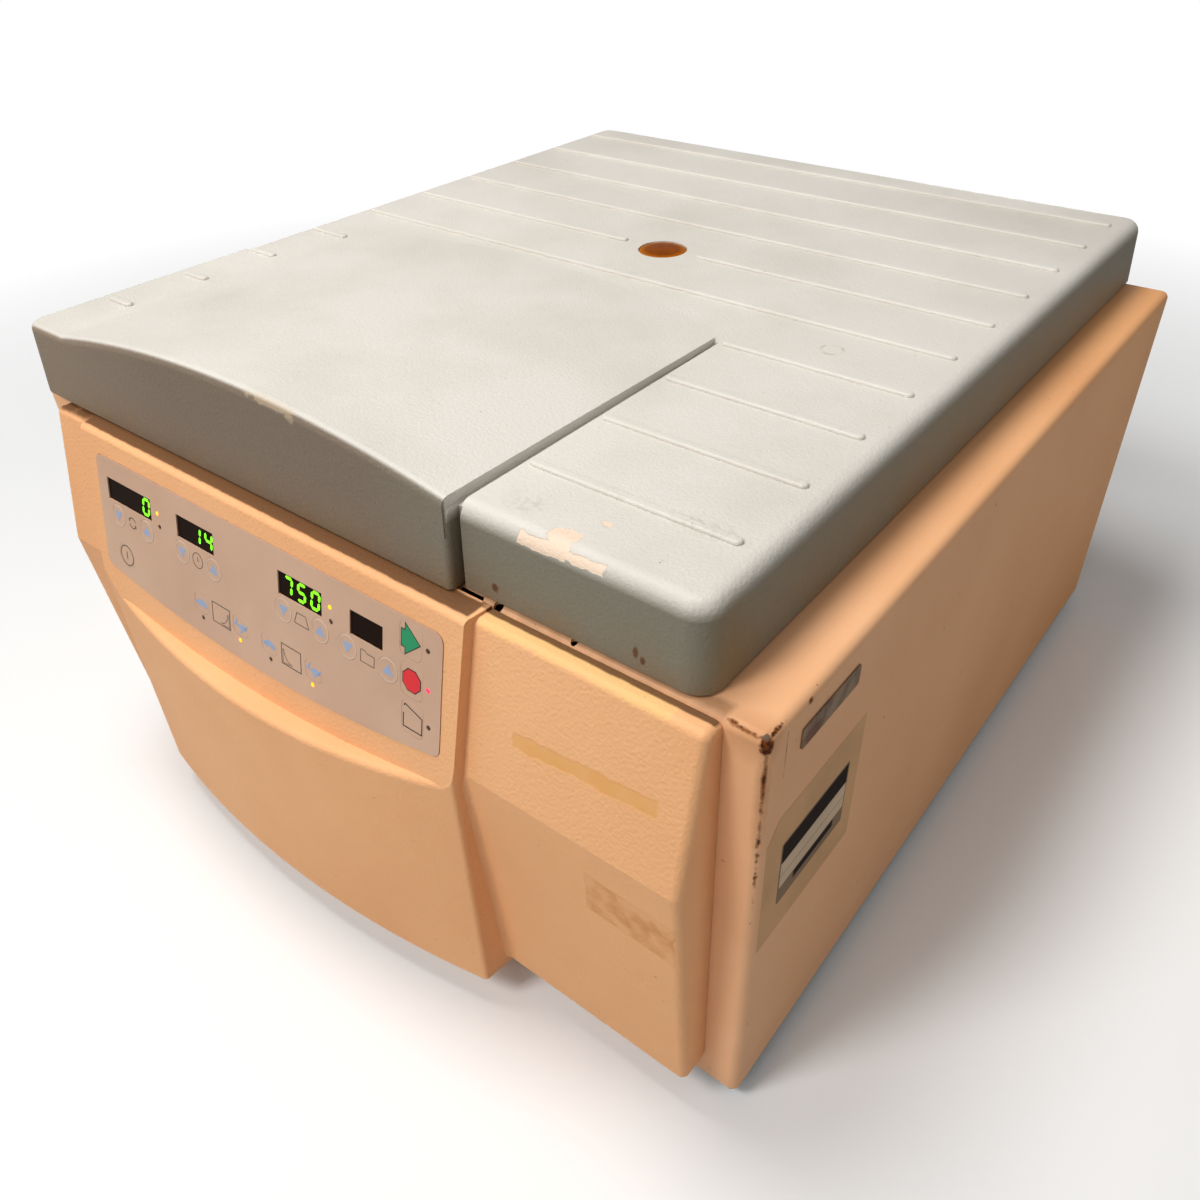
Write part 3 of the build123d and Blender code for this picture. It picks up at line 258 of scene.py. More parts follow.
def bump(tree, shader, height, depth_mm, strength=1.0, below=None):
    """Relief of that depth on the shader, over an earlier relief if one is given."""
    made = add(tree, "Bump", {"Strength": strength, "Distance": depth_mm * MM}, Height=height)
    if below is not None:
        tree.links.new(below, made.inputs["Normal"])
    tree.links.new(made.outputs["Normal"], shader.inputs["Normal"])
    return made.outputs["Normal"]


# ------------------------------------------------------------ materials
def lid_tones_and_painted_shade(tree, where):
    """Lid paint before its wear: a pale top and darker skirts in painted shade, browner to the
    left.
    """
    across, depth, height = split(tree, where)
    top_tone = mixed(tree, blotches(tree, where, 90.0, 5.0, 0.42, 0.72), "#DAD4CA", "#CFC8BD")
    # how far a point lies behind the leaning front wall under the bonnet
    lean = ramp(tree, height, LID_FOOT * MM, LID_CREST * MM, 0.0,
                LID_DRAFT * (LID_CREST - LID_FOOT) * MM)
    behind = combine(tree, "SUBTRACT", combine(tree, "ADD", depth, -LID_FRONT * MM), lean)
    # the skirts' painted shade starts over the rounded top edge, and sharply along the bonnet's
    # crest
    skirt = largest(tree, [ramp(tree, height, (LID_TOP - 0.6) * MM, (LID_TOP - 7.8) * MM),
                           ramp(tree, behind, 2.0 * MM, 0.8 * MM)])
    # painted shade of the skirts, browner to the left with painted warm light bounced from the
    # key panel
    skirt_shade = mixed(tree, ramp(tree, across, 0.12, 0.04), "#827D6D", "#7F7060")
    skirt_shade = mixed(tree, ramp(tree, across, -0.10, -0.22, 0.0, 0.5), skirt_shade, "#9A8672")
    paint = mixed(tree, skirt, top_tone, skirt_shade)
    # darker brown towards the skirts' lower edge: partly dirt, partly painted shade
    low_dirt_and_shade = combine(tree, "MULTIPLY", ramp(tree, height, 0.285, 0.262),
                    blotches(tree, where, 30.0, 5.0, 0.40, 0.68, 0.1, 0.8))
    return mixed(tree, low_dirt_and_shade, paint, "#8A7458")


def bottle_ring(tree, where):
    """Faint wet ring, about 12 mm across, where a bottle stood on the lid."""
    radius = length(tree, from_point(tree, where, (146, -26, 301)).outputs["Vector"])
    off = combine(tree, "ABSOLUTE", combine(tree, "SUBTRACT", radius, 5.8 * MM), 0.0)
    return combine(tree, "MULTIPLY", ramp(tree, off, 1.2 * MM, 0.3 * MM, 0.0, 0.5),
                   blotches(tree, where, 7.0, 3.0, 0.40, 0.60))


def lid_paint():
    """Structural foam moulding sprayed with satin grey paint: a fine leathery grain, a brown
    streak and spots near the front right corner, greasy smears, a bottle ring, old gum on the
    bonnet's crest, and cream plastic where the paint is knocked off."""
    material, tree, shader = new_material("lid satin paint on foam moulding", Roughness=0.46,
                                          Specular_IOR_Level=0.35)
    where = place(tree)
    # pale top, and skirts in painted shade
    paint = lid_tones_and_painted_shade(tree, where)
    streak = patch(tree, where, (217.5, -232, 277), (5, 13, 21), 0.5, 14.0, 0.6)
    paint = stained(tree, paint, streak, 0.6, "#86704C")
    spots = patches(tree, where, ((184.5, -246.2, 269.6), (1.3, 3, 2.6), 0.5, 2.0, 0.3),
                    ((188, -246.2, 267.1), (1.2, 3, 1.8), 0.5, 2.0, 0.3),
                    ((112.5, -246.2, 268.2), (1.7, 3, 2.0), 0.5, 2.0, 0.3))
    paint = stained(tree, paint, spots, 0.9, "#5E3A20")
    smear = patches(tree, where, ((117, -227, 301), (9, 6, 6), 0.6, 5.0, 0.5),
                    ((186, -200, 301), (14, 6, 6), 0.6, 7.0, 0.5))
    broken = blotches(tree, where, 3.0, 4.0, 0.45, 0.60, 0.0, 0.22)
    paint = mixed(tree, combine(tree, "MULTIPLY", smear, broken), paint, "#8F8A70")
    paint = mixed(tree, bottle_ring(tree, where), paint, "#A49E86")
    paint = mixed(tree, blotches(tree, where, 3.2, 2.0, 0.76, 0.78, 0.0, 0.6), paint, "#8A7454")
    chip = largest(tree, [
        slabs(tree, where, ((138, -244.4, 300.0), (12.5, 3.4, 4.6), 0.3, 1.3),
              ((157, -243.4, 300.5), (11, 2.6, 4.0), 0.3, 1.6)),
        patches(tree, where, ((144.5, -238.0, 301), (6.5, 7.0, 3.0), 0.9, 5.0, 0.04),
                ((152.7, -220.2, 301), (3.0, 1.8, 3.0), 0.6, 3.0, 0.04))])
    paint = mixed(tree, chip, paint, "#EDD3BA")
    gum = patches(tree, where, ((-14, -249, 316.5), (17, 3.0, 3.0), 0.8, 5.0, 0.1),
                  ((-2, -251, 313.0), (4, 3.0, 3.5), 0.8, 4.0, 0.1))
    paint = stained(tree, paint, gum, 0.35, "#D8BE9C")
    tree.links.new(paint, shader.inputs["Base Color"])
    grain = bump(tree, shader, noise(tree, where, 1.6, 3.0, 0.6), 0.50, 0.80)
    bump(tree, shader, chip, -0.25, 0.8, grain)
    return material


def corner_rust(tree, where):
    """Rust at the front right corner of the cabinet and along the three edges that meet there."""
    return patches(tree, where, ((244.4, -247.3, 256.8), (3.2, 3.2, 5.6), 0.6, 2.4, 0.14),
                   ((244.3, -247.3, 240), (1.3, 1.3, 17), 0.6, 5.0, 0.3),
                   ((244.3, -247.3, 205), (0.9, 0.9, 36), 1.5, 4.0, 0.4),
                   ((235.5, -247.2, 259.4), (9.0, 1.1, 1.2), 0.7, 1.9, 0.3),
                   ((228.6, -246.6, 259.8), (2.4, 1.3, 1.2), 0.6, 1.8, 0.3),
                   ((243.9, -241, 259.4), (1.1, 6, 1.1), 1.0, 1.8, 0.3),
                   ((244.8, -217, 256.5), (1.2, 1.5, 1.2), 0.5, 2.4, 0.5))


def cabinet_enamel():
    """Sheet steel with baked peach-beige enamel: smooth with a little orange peel. It is painted
    paler towards the front as painted light, and a painted shadow of the lid lies on the deck in
    front of it. The coat is knocked through to bare steel at the front right corner, and rust
    creeps along the edges."""
    material, tree, shader = new_material("cabinet baked enamel on steel",
                                          Specular_IOR_Level=0.12)
    where = place(tree)
    tone = blotches(tree, where, 130.0, 4.0, 0.35, 0.70)
    # painted light: paler towards the front and darker towards the rear, as the light falls off
    front_light_falloff = ramp(tree, split(tree, where)[1], -0.24, 0.25)
    paint = mixed(tree, front_light_falloff, mixed(tree, tone, "#F6BF92", "#EEB485"),
                  mixed(tree, tone, "#E9A970", "#E19F67"))
    specks = combine(tree, "MULTIPLY", blotches(tree, where, 4.0, 2.0, 0.725, 0.75),
                     blotches(tree, where, 120.0, 3.0, 0.45, 0.62, 0.0, 0.8))
    paint = mixed(tree, specks, paint, "#8A4A22")
    # painted shadow of the lid: dark brown on the deck strip in front of it
    painted_lid_shadow = slab(tree, where, (60, -244.5, 260), (166, 5.5, 1.2), 3.0, 0.8)
    paint = stained(tree, paint, painted_lid_shadow, 0.6, "#7A5638")
    scratch = slab(tree, where, (245, -233.5, 241.5), (3, 0.22, 12.5), 0.3, 0.35)
    paint = stained(tree, paint, scratch, 0.7, "#5A3418")
    halo = patches(tree, where, ((241, -246, 258), (13, 7, 9), 0.4, 8.0, 0.7),
                   ((245, -248, 232), (3.2, 3.2, 30), 0.6, 4.0, 0.7))
    paint = stained(tree, paint, halo, 0.4, "#A8662C")
    rust = corner_rust(tree, where)
    scale = mixed(tree, blotches(tree, where, 1.6, 5.0, 0.40, 0.58), "#8A4A1E", "#4A2612")
    paint = mixed(tree, rust, paint, scale)
    bare = patch(tree, where, (243.8, -246.6, 259.6), (2.8, 3.0, 1.5), 0.7, 1.8, 0.15)
    paint = mixed(tree, bare, paint, "#6E5A4A")
    tree.links.new(paint, shader.inputs["Base Color"])
    tree.links.new(ramp(tree, rust, 0.0, 1.0, 0.42, 0.9), shader.inputs["Roughness"])
    peel = bump(tree, shader, noise(tree, where, 2.4, 1.0), 0.05, 0.35)
    pitted = combine(tree, "MULTIPLY", rust, noise(tree, where, 1.0, 4.0))
    bump(tree, shader, pitted, 0.5, 0.9, peel)
    return material


def cover_plastic():
    """Injection-moulded ABS with a spark-eroded pebble texture; marks of old tape and a peeled
    sticker on the right wing, and a dark brown painted shadow of the lid along the top under it."""
    material, tree, shader = new_material("cover pebbled ABS", Roughness=0.5,
                                          Specular_IOR_Level=0.2)
    where = place(tree)
    paint = mixed(tree, blotches(tree, where, 150.0, 3.0, 0.35, 0.70), "#F8BC87", "#F0B07B")
    tape = slab(tree, where, (173, -267, 215), (37, 20, 3.8), 0.8, 1.6, math.radians(-4))
    gum = combine(tree, "MULTIPLY", tape, blotches(tree, where, 14.0, 4.0, 0.3, 0.6, 0.45, 0.8))
    paint = mixed(tree, gum, paint, "#EBAA5E")
    sticker = slab(tree, where, (200, -273, 146), (24, 14, 14), 0.8, 1.8, math.radians(3))
    worn = blotches(tree, where, 9.0, 6.0, 0.44, 0.66, 0.15, 0.7)
    paint = mixed(tree, combine(tree, "MULTIPLY", sticker, worn), paint, "#D08C48")
    lip = slab(tree, where, (161, -256, 259.5), (48, 8, 2.6), 0.8, 1.2)
    paint = stained(tree, paint, lip, 0.55, "#F0C67C")
    paint = mixed(tree, blotches(tree, where, 3.4, 2.0, 0.755, 0.775, 0.0, 0.6), paint, "#A87A4A")
    # painted shadow of the lid: dark brown on the block's top behind its rim and on the flat
    # behind the wing's rounded edge
    painted_lid_shadow = slabs(tree, where, ((-55, -254.6, 259.8), (164, 5.2, 1.6), 1.2, 0.5),
                 ((167, -249.8, 259.2), (60, 1.8, 1.4), 1.0, 0.4))
    paint = stained(tree, paint, painted_lid_shadow, 0.92, "#644024")
    tree.links.new(paint, shader.inputs["Base Color"])
    # pebbles about 1.5 mm across, smooth where tape or a sticker filled them
    pebble = add(tree, "TexVoronoi", {"feature": "SMOOTH_F1", "Scale": 1.0 / (1.5 * MM)},
                 Vector=where)
    open_grain = combine(tree, "SUBTRACT", 1.0, combine(tree, "MAXIMUM", tape, sticker))
    bump(tree, shader, combine(tree, "MULTIPLY", pebble.outputs["Distance"], open_grain),
         0.34, 0.75)
    return material


def key_film():
    """Screen-printed matt polyester film: flat grey-beige with a very fine tooth."""
    material, tree, shader = new_material("key film matt polyester", Roughness=0.46,
                                          Specular_IOR_Level=0.3)
    where = place(tree)
    tone = blotches(tree, where, 60.0, 3.0, 0.40, 0.70)
    tree.links.new(mixed(tree, tone, "#D3AE93", "#CBA58A"), shader.inputs["Base Color"])
    bump(tree, shader, noise(tree, where, 0.8, 2.0), 0.02, 0.4)
    return material


def ink(name, hex_text):
    """Flat colour with the film's soft sheen: screen-printed ink, and a key rim's painted
    highlight.
    """
    return new_material(name, Base_Color=srgb(hex_text), Roughness=0.45)[0]


def glowing(name, hex_text, strength, body_hex):
    """Lit emitter behind a tinted lens."""
    return new_material(name, Base_Color=srgb(body_hex), Roughness=0.25,
                        Emission_Color=srgb(hex_text), Emission_Strength=strength)[0]


def plain(name, hex_text, rough, metallic=0.0, grain_mm=0.0, depth_mm=0.0, **more):
    """Even finish, faintly clouded, with an optional fine grain."""
    material, tree, shader = new_material(name, Roughness=rough, Metallic=metallic, **more)
    where = place(tree)
    darker = tuple(c * 0.86 for c in srgb(hex_text)[:3]) + (1.0,)
    tone = mixed(tree, blotches(tree, where, 35.0, 3.0, 0.35, 0.70), hex_text, darker)
    tree.links.new(tone, shader.inputs["Base Color"])
    if grain_mm:
        bump(tree, shader, noise(tree, where, grain_mm, 2.0), depth_mm, 0.6)
    return material


def spun_steel():
    """Stainless sheet spun on a lathe: fine bright rings round the rotor axis."""
    material, tree, shader = new_material("spun stainless steel", Metallic=1.0,
                                          Base_Color=srgb("#C3C5C6"))
    centred = from_point(tree, place(tree), (AXIS_X, AXIS_Y, 0.0))
    rings = add(tree, "TexWave", {"wave_type": "RINGS", "rings_direction": "Z",
                                  "Distortion": 1.0, "Detail": 2.0},
                Vector=centred.outputs["Vector"])
    rings.inputs["Scale"].default_value = 1.0 / (20 * 2.0 * MM)     # lines about 2 mm apart
    line = rings.outputs["Fac"]
    tree.links.new(ramp(tree, line, 0.0, 1.0, 0.26, 0.40), shader.inputs["Roughness"])
    bump(tree, shader, line, 0.02, 0.4)
    return material


def amber_port():
    """Dyed polycarbonate lens, opaque: its dark amber is painted shade for the unlit chamber
    under it, painted lighter towards the rim as painted light gathered there; polished face."""
    material, tree, shader = new_material("sight port dyed polycarbonate", Roughness=0.25,
                                          Specular_IOR_Level=0.02)
    where = place(tree)
    cloud = blotches(tree, where, 9.0, 3.0, 0.30, 0.70)
    centred = from_point(tree, where, (AXIS_X, AXIS_Y, LID_TOP))
    # painted light: lighter amber towards the rim
    rim = ramp(tree, length(tree, centred.outputs["Vector"]), 10.5 * MM, 15.2 * MM, 0.0, 0.8)
    amber = mixed(tree, rim, mixed(tree, cloud, "#863F00", "#723500"), "#BA6C0A")
    tree.links.new(amber, shader.inputs["Base Color"])
    return material


def tag_metal():
    """Blank tag plate: thin aluminium with worn lacquer and a rusty stain at one end."""
    material, tree, shader = new_material("tag plate lacquered aluminium", Roughness=0.5,
                                          Specular_IOR_Level=0.15)
    where = place(tree)
    metal = mixed(tree, blotches(tree, where, 8.0, 5.0, 0.42, 0.60), "#957C64", "#786250")
    stain = patch(tree, where, (245.5, -214, 238), (3, 7, 4), 0.6, 4.0, 0.3)
    metal = stained(tree, metal, stain, 0.75, "#6A3A26")
    tree.links.new(metal, shader.inputs["Base Color"])
    bump(tree, shader, noise(tree, where, 1.2, 3.0), 0.04, 0.5)
    return material


PAINTS = {
    "lid": lid_paint(),
    "enamel": cabinet_enamel(),
    "cover": cover_plastic(),
    "film": key_film(),
    "stainless": spun_steel(),
    "amber": amber_port(),
    "tag": tag_metal(),
    # bright zinc plating on pressed steel: soft metallic grey
    "zinc": plain("zinc plated steel", "#B5B6B2", 0.38, 1.0, 1.4, 0.03),
    # centreless ground bar: tight, bright highlights
    "ground steel": plain("ground steel shaft", "#C4C6C8", 0.24, 1.0, 0.9, 0.01),
    # machined and anodised aluminium: pale satin metal
    "alloy": plain("anodised aluminium", "#AEB1B4", 0.36, 1.0, 0.8, 0.02),
    # moulded rubber: near black, dull
    "rubber": plain("moulded black rubber", "#1E1D1C", 0.72, 0.0, 1.2, 0.05),
    # glass-filled nylon: black with a slight sheen
    "nylon": plain("glass-filled black nylon", "#171717", 0.48, 0.0, 0.8, 0.03),
    # dark paint on the pan under the cabinet
    "base": plain("base pan satin black paint", "#4A4038", 0.55, 0.0, 2.0, 0.05),
    # smoked acrylic over the figures: almost black, hardly any gloss
    "filter": plain("display smoked filter", "#1E0F08", 0.4, Specular_IOR_Level=0.04),
    # solder mask of the circuit boards: deep green, smooth
    "board": plain("green solder mask", "#1E5B38", 0.35),
    # stoved enamel on the motor's casting
    "motor": plain("motor grey enamel", "#5A5E61", 0.45, 0.0, 1.6, 0.06),
    # varnished tape on coils: brown, slightly rough
    "winding": plain("varnished winding tape", "#7C4E2A", 0.5, 0.0, 1.5, 0.1),
    # natural acetal: milky white, waxy
    "acetal": plain("natural acetal", "#DADCDD", 0.4, 0.0, 1.0, 0.02),
    # vacuum-formed polystyrene: off-white, eggshell sheen
    "liner": plain("white polystyrene liner", "#D9D9D3", 0.45, 0.0, 1.6, 0.04),
    "blue ink": ink("pale blue screen ink", "#9AABCB"),
    "brown ink": ink("dark brown screen ink", "#55483A"),
    "black ink": ink("black screen ink", "#231D1A"),
    # painted highlight: a pale ring on the embossed rim of each arrow key
    "ring highlight paint": ink("painted highlight ring of a pressed key", "#DCC4AE"),
    "green ink": ink("green screen ink", "#12935E"),
    "red ink": ink("red screen ink", "#E5222B"),
    "digit": glowing("green emitter", "#7CF000", 1.6, "#3A7A10"),
    "amber lamp": glowing("amber lamp lit", "#FFA400", 2.0, "#C07A10"),
    "red lamp": glowing("red lamp lit", "#FF2A4E", 2.2, "#B01C30"),
    # tinted resin of a lamp that is off
    "dark lamp": plain("lamp unlit", "#4A2C1A", 0.3),
    # aged label stock, its black and grey print, and the yellowed film stuck over it
    "label white": plain("label paper", "#D8BEA0", 0.6, Specular_IOR_Level=0.1),
    "label black": plain("label black print", "#20130E", 0.6, Specular_IOR_Level=0.06),
    "label grey": plain("label printed grey", "#8E755C", 0.6, Specular_IOR_Level=0.1),
    "clear patch": plain("yellowed clear film", "#DAA877", 0.45, Specular_IOR_Level=0.12),
}

NODE_PAINT = {
    "lid_shell": "lid", "cabinet_shell": "enamel", "rear_panel": "enamel",
    "front_cover": "cover", "keypad_overlay": "film", "display_modules": "filter",
    "indicator_leds": "dark lamp", "display_board": "board", "motor_controller": "board",
    "base_pan": "base", "feet": "rubber", "lid_bumpers": "rubber", "chamber_gasket": "rubber",
    "motor_mounts": "rubber", "shaft_boot": "rubber", "cooling_fan": "nylon",
    "power_inlet": "nylon", "power_rocker": "nylon", "rear_screws": "zinc",
    "hinge_brackets": "zinc", "hinge_leaves": "zinc", "hinge_pins": "ground steel",
    "latch_frame": "zinc", "latch_hook": "zinc", "lid_striker": "zinc",
    "latch_solenoid": "winding", "power_supply": "winding", "chamber_bowl": "stainless",
    "drive_motor": "motor", "drive_shaft": "ground steel", "trunnion_pins": "ground steel",
    "rotor_head": "alloy", "rotor_nut": "alloy", "lid_liner": "liner",
    "sight_window": "amber", "side_tag_plate": "tag",
}
for number in range(1, 5):
    NODE_PAINT["bucket_%d" % number] = "alloy"
    NODE_PAINT["slide_carrier_%d" % number] = "acetal"


def paint_nodes():
    """Gives each solid its finish; every key is a pressed spot of the film."""
    for name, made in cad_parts.items():
        paint = "film" if name.startswith("key_") else NODE_PAINT[name]
        made.data.materials.clear()
        made.data.materials.append(PAINTS[paint])


# ------------------------------------------------------------ places and flat drawings
def set_out(right, up, outward, spot):
    """Matrix that takes x, y and z to three directions about a spot."""
    return Matrix.Translation(spot) @ Matrix((right, up, outward)).transposed().to_4x4()


def panel_matrix(x, v, out):
    """From a flat drawing in mm (x right, y up the slope, z outward) to the shared frame."""
    up_slope = Vector((0, math.sin(PANEL_TILT), math.cos(PANEL_TILT)))
    outward = Vector((0, -math.cos(PANEL_TILT), math.sin(PANEL_TILT)))
    spot = PANEL_TOP + Vector((x, 0, 0)) - up_slope * v + outward * out
    return Matrix.Scale(MM, 4) @ set_out((1, 0, 0), up_slope, outward, spot)


def key_matrix(key, out):
    """The same at the middle of a key."""
    x, v = KEYS[key][:2]
    return panel_matrix(x, v, out)


def side_matrix(y, z, out):
    """The same for a drawing on the right side of the cabinet, x towards the rear."""
    spot = (SIDE_FACE + out, y, z)
    return Matrix.Scale(MM, 4) @ set_out((0, 1, 0), (0, 0, 1), (1, 0, 0), spot)


def on_circle(radius, degrees):
    """Point of a circle about the middle of a drawing."""
    angle = math.radians(degrees)
    return radius * math.cos(angle), radius * math.sin(angle)


def polygon(bm, points):
    """Flat face through the points of a drawing."""
    return bm.faces.new([bm.verts.new((x, y, 0)) for x, y in points])


def disc(bm, radius, x, y, steps):
    """Filled round spot."""
    bmesh.ops.create_circle(bm, cap_ends=True, radius=radius, segments=steps,
                            matrix=Matrix.Translation((x, y, 0)))


def hoop(bm, outer, width, steps=40):
    """Thin printed ring."""
    edges = []
    for radius in (outer, outer - width):
        made = bmesh.ops.create_circle(bm, cap_ends=False, radius=radius, segments=steps)
        edges += list({e for v in made["verts"] for e in v.link_edges})
    bmesh.ops.bridge_loops(bm, edges=edges)


def round_corners(half_wide, half_high, corner, steps=8):
    """Points of a rectangle with round corners about its own middle."""
    points = []
    for sx, sy, start in ((1, 1, 0), (-1, 1, 90), (-1, -1, 180), (1, -1, 270)):
        for k in range(steps + 1):
            dx, dy = on_circle(corner, start + 90 * k / steps)
            points.append((sx * (half_wide - corner) + dx, sy * (half_high - corner) + dy))
    return points


def outline(bm, points, width):
    """Closed printed line along the inside of a polygon."""
    face = polygon(bm, points)
    face.normal_update()
    bmesh.ops.inset_region(bm, faces=[face], thickness=width, use_even_offset=True,
                           use_boundary=True)
    bmesh.ops.delete(bm, geom=[face], context="FACES_ONLY")


def bar(bm, start, end, width):
    """Straight printed stroke."""
    a, b = Vector(start), Vector(end)
    side = (b - a).normalized()
    side = Vector((-side.y, side.x)) * width / 2
    polygon(bm, [tuple(p) for p in (a - side, b - side, b + side, a + side)])


def stroke(bm, start, end, width):
    """Straight stroke with pointed ends, one of the seven of a figure."""
    a, b = Vector(start), Vector(end)
    along = (b - a).normalized()
    side = Vector((-along.y, along.x)) * width / 2
    tip = along * width / 2
    polygon(bm, [tuple(p) for p in (a, a + tip - side, b - tip - side, b, b - tip + side,
                                    a + tip + side)])


# ------------------------------------------------------------ making a piece
def finish_piece(name, bm, paint, body, smooth=False):
    """Turns a bmesh in the shared frame into a finished piece that moves with a body."""
    mesh = bpy.data.meshes.new(name)
    bm.to_mesh(mesh)
    bm.free()
    for face in mesh.polygons:
        face.use_smooth = smooth
    piece = bpy.data.objects.new(name, mesh)
    bpy.context.scene.collection.objects.link(piece)
    mesh.materials.append(PAINTS[paint])
    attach(piece, body)
    return piece


def printed(name, draw, where, paint, body, thick=0.06):
    """Flat drawing given a hair of thickness and laid on its surface."""
    bm = bmesh.new()
    draw(bm)
    bmesh.ops.recalc_face_normals(bm, faces=bm.faces)
    for face in bm.faces:
        if face.normal.z < 0:
            face.normal_flip()
    raised = bmesh.ops.extrude_face_region(bm, geom=list(bm.faces), use_keep_orig=True)
    top = [g for g in raised["geom"] if isinstance(g, bmesh.types.BMVert)]
    bmesh.ops.translate(bm, verts=top, vec=(0, 0, thick))
    bmesh.ops.recalc_face_normals(bm, faces=bm.faces)
    bmesh.ops.transform(bm, matrix=where, verts=bm.verts)
    return finish_piece(name, bm, paint, body)


def spun(profile, steps, where):
    """Solid turned from half of its outline, given as (radius, height) in mm, and placed."""
    bm = bmesh.new()
    ring = [bm.verts.new((radius, 0, height)) for radius, height in profile]
    edges = [bm.edges.new(pair) for pair in zip(ring, ring[1:])]
    bmesh.ops.spin(bm, geom=ring + edges, axis=(0, 0, 1), cent=(0, 0, 0), steps=steps,
                   angle=2 * math.pi, use_merge=True)
    bmesh.ops.remove_doubles(bm, verts=bm.verts, dist=1e-3)
    bmesh.ops.recalc_face_normals(bm, faces=bm.faces)
    bmesh.ops.transform(bm, matrix=where, verts=bm.verts)
    return bm


# ------------------------------------------------------------ drawings of the key film
# each about its own middle, in mm
def clock_icon(bm):
    """Clock face with two hands."""
    hoop(bm, 4.5, 0.45)
    bar(bm, (0, -0.2), (0, 2.0), 0.45)
    bar(bm, (-0.2, 0), (1.3, 0), 0.45)


def turning_icon(bm):
    """Two arrows chasing each other round a circle."""
    steps, sweep, middle = 9, 125, 3.1
    for half in (0, 180):
        turns = [half + 20 + sweep * k / steps for k in range(steps + 1)]
        for a, b in zip(turns, turns[1:]):
            bar(bm, on_circle(middle, a), on_circle(middle, b), 0.6)
        polygon(bm, [on_circle(middle - 1.1, half + 143), on_circle(middle, half + 172),
                     on_circle(middle + 1.1, half + 143)])


def rotor_icon(bm):
    """Rotor seen from the side: a body that widens downwards."""
    outline(bm, [(-5.6, -3.3), (5.6, -3.3), (3.4, 3.2), (-3.4, 3.2)], 0.4)


def program_icon(bm):
    """Index card with a tab."""
    outline(bm, [(-4.8, -3.4), (4.8, -3.4), (4.8, 2.4), (-0.4, 2.4), (-1.2, 3.4), (-4.2, 3.4),
                 (-4.8, 2.8)], 0.4)


def slope_box(falling):
    """Square with a rising or falling curve, between a slow and a fast key."""
    def draw(bm):
        outline(bm, [(-7.7, -6.0), (7.7, -6.0), (7.7, 6.0), (-7.7, 6.0)], 0.55)
        side = -1 if falling else 1
        curve = [(-0.8, -4.5), (1.6, -4.0), (3.6, -2.6), (5.0, -0.4), (5.9, 3.0)]
        for start, end in zip(curve, curve[1:]):
            bar(bm, (side * start[0], start[1]), (side * end[0], end[1]), 0.4)
        bar(bm, (side * 1.0, -4.9), (side * 6.2, -4.9), 0.3)
        bar(bm, (side * 6.4, -4.9), (side * 6.4, 2.6), 0.3)
    return draw


def slow_icon(bm):
    """Tortoise: a low shell, a head and a tail, and two feet."""
    polygon(bm, [(4.1 * math.cos(math.radians(a)) + 0.3, 3.3 * math.sin(math.radians(a)) - 1.1)
                 for a in range(0, 181, 12)])
    polygon(bm, [(-5.9, -0.5), (-3.6, -1.5), (-3.0, 0.6), (-4.8, 0.6)])
    polygon(bm, [(4.0, -1.1), (5.7, -1.3), (4.0, -0.2)])
    for x in (-2.3, 2.1):
        polygon(bm, [(x - 0.9, -2.2), (x + 0.9, -2.2), (x + 0.9, -1.1), (x - 0.9, -1.1)])


def fast_icon(bm):
    """Hare: a stretched body, a head, laid-back ears and reaching legs."""
    polygon(bm, [(-2.9, 0.3), (-0.6, 1.2), (2.4, 1.9), (4.4, 1.2), (4.8, 0.0), (3.6, -1.4),
                 (1.2, -1.7), (-1.2, -1.2)])
    polygon(bm, [(-5.7, 0.4), (-4.4, 1.6), (-2.9, 1.5), (-2.6, 0.3), (-4.0, -0.4)])
    polygon(bm, [(-4.2, 1.7), (-2.8, 3.9), (-2.0, 3.8), (-3.0, 1.4)])
    polygon(bm, [(3.0, -1.0), (5.4, 2.4), (5.9, 1.8), (4.6, -0.6)])
    polygon(bm, [(0.4, -1.5), (-0.8, -3.8), (0.3, -4.0), (2.2, -1.5)])


def power_icon(bm):
    """Stroke inside a ring."""
    hoop(bm, 6.3, 0.65, 48)
    bar(bm, (0, -2.4), (0, 2.4), 0.65)


def lid_icon(bm):
    """Box with its lid lifted."""
    points = [(-5.8, 1.1), (-5.8, -6.0), (6.1, -6.0), (6.1, 2.6), (-4.9, 6.3), (-5.5, 5.0)]
    for start, end in zip(points, points[1:]):
        bar(bm, start, end, 0.6)
    for x, y in points[1:5]:
        disc(bm, 0.3, x, y, 10)


def start_arrow(grow):
    """Block arrow pointing right, enlarged all round."""
    def draw(bm):
        tail, neck, tip = -5.7 - grow, -3.3 - grow, 5.5 + 1.4 * grow
        shaft, barb = 4.1 + grow, 7.3 + 2 * grow
        polygon(bm, [(tail, -shaft), (neck, -shaft), (neck, -barb), (tip, 0), (neck, barb),
                     (neck, shaft), (tail, shaft)])
    return draw


def octagon(radius):
    return lambda bm: polygon(bm, [on_circle(radius, 22.5 + 45 * k) for k in range(8)])


def triangle_up(bm):
    polygon(bm, [(-3.5, -2.4), (3.5, -2.4), (0, 3.1)])


def triangle_down(bm):
    polygon(bm, [(-3.5, 2.4), (0, -3.1), (3.5, 2.4)])


# pale ring near the edge of a pressed key: a painted highlight of its embossed rim
def painted_key_highlight(bm):
    hoop(bm, 6.1, 0.45, 44)


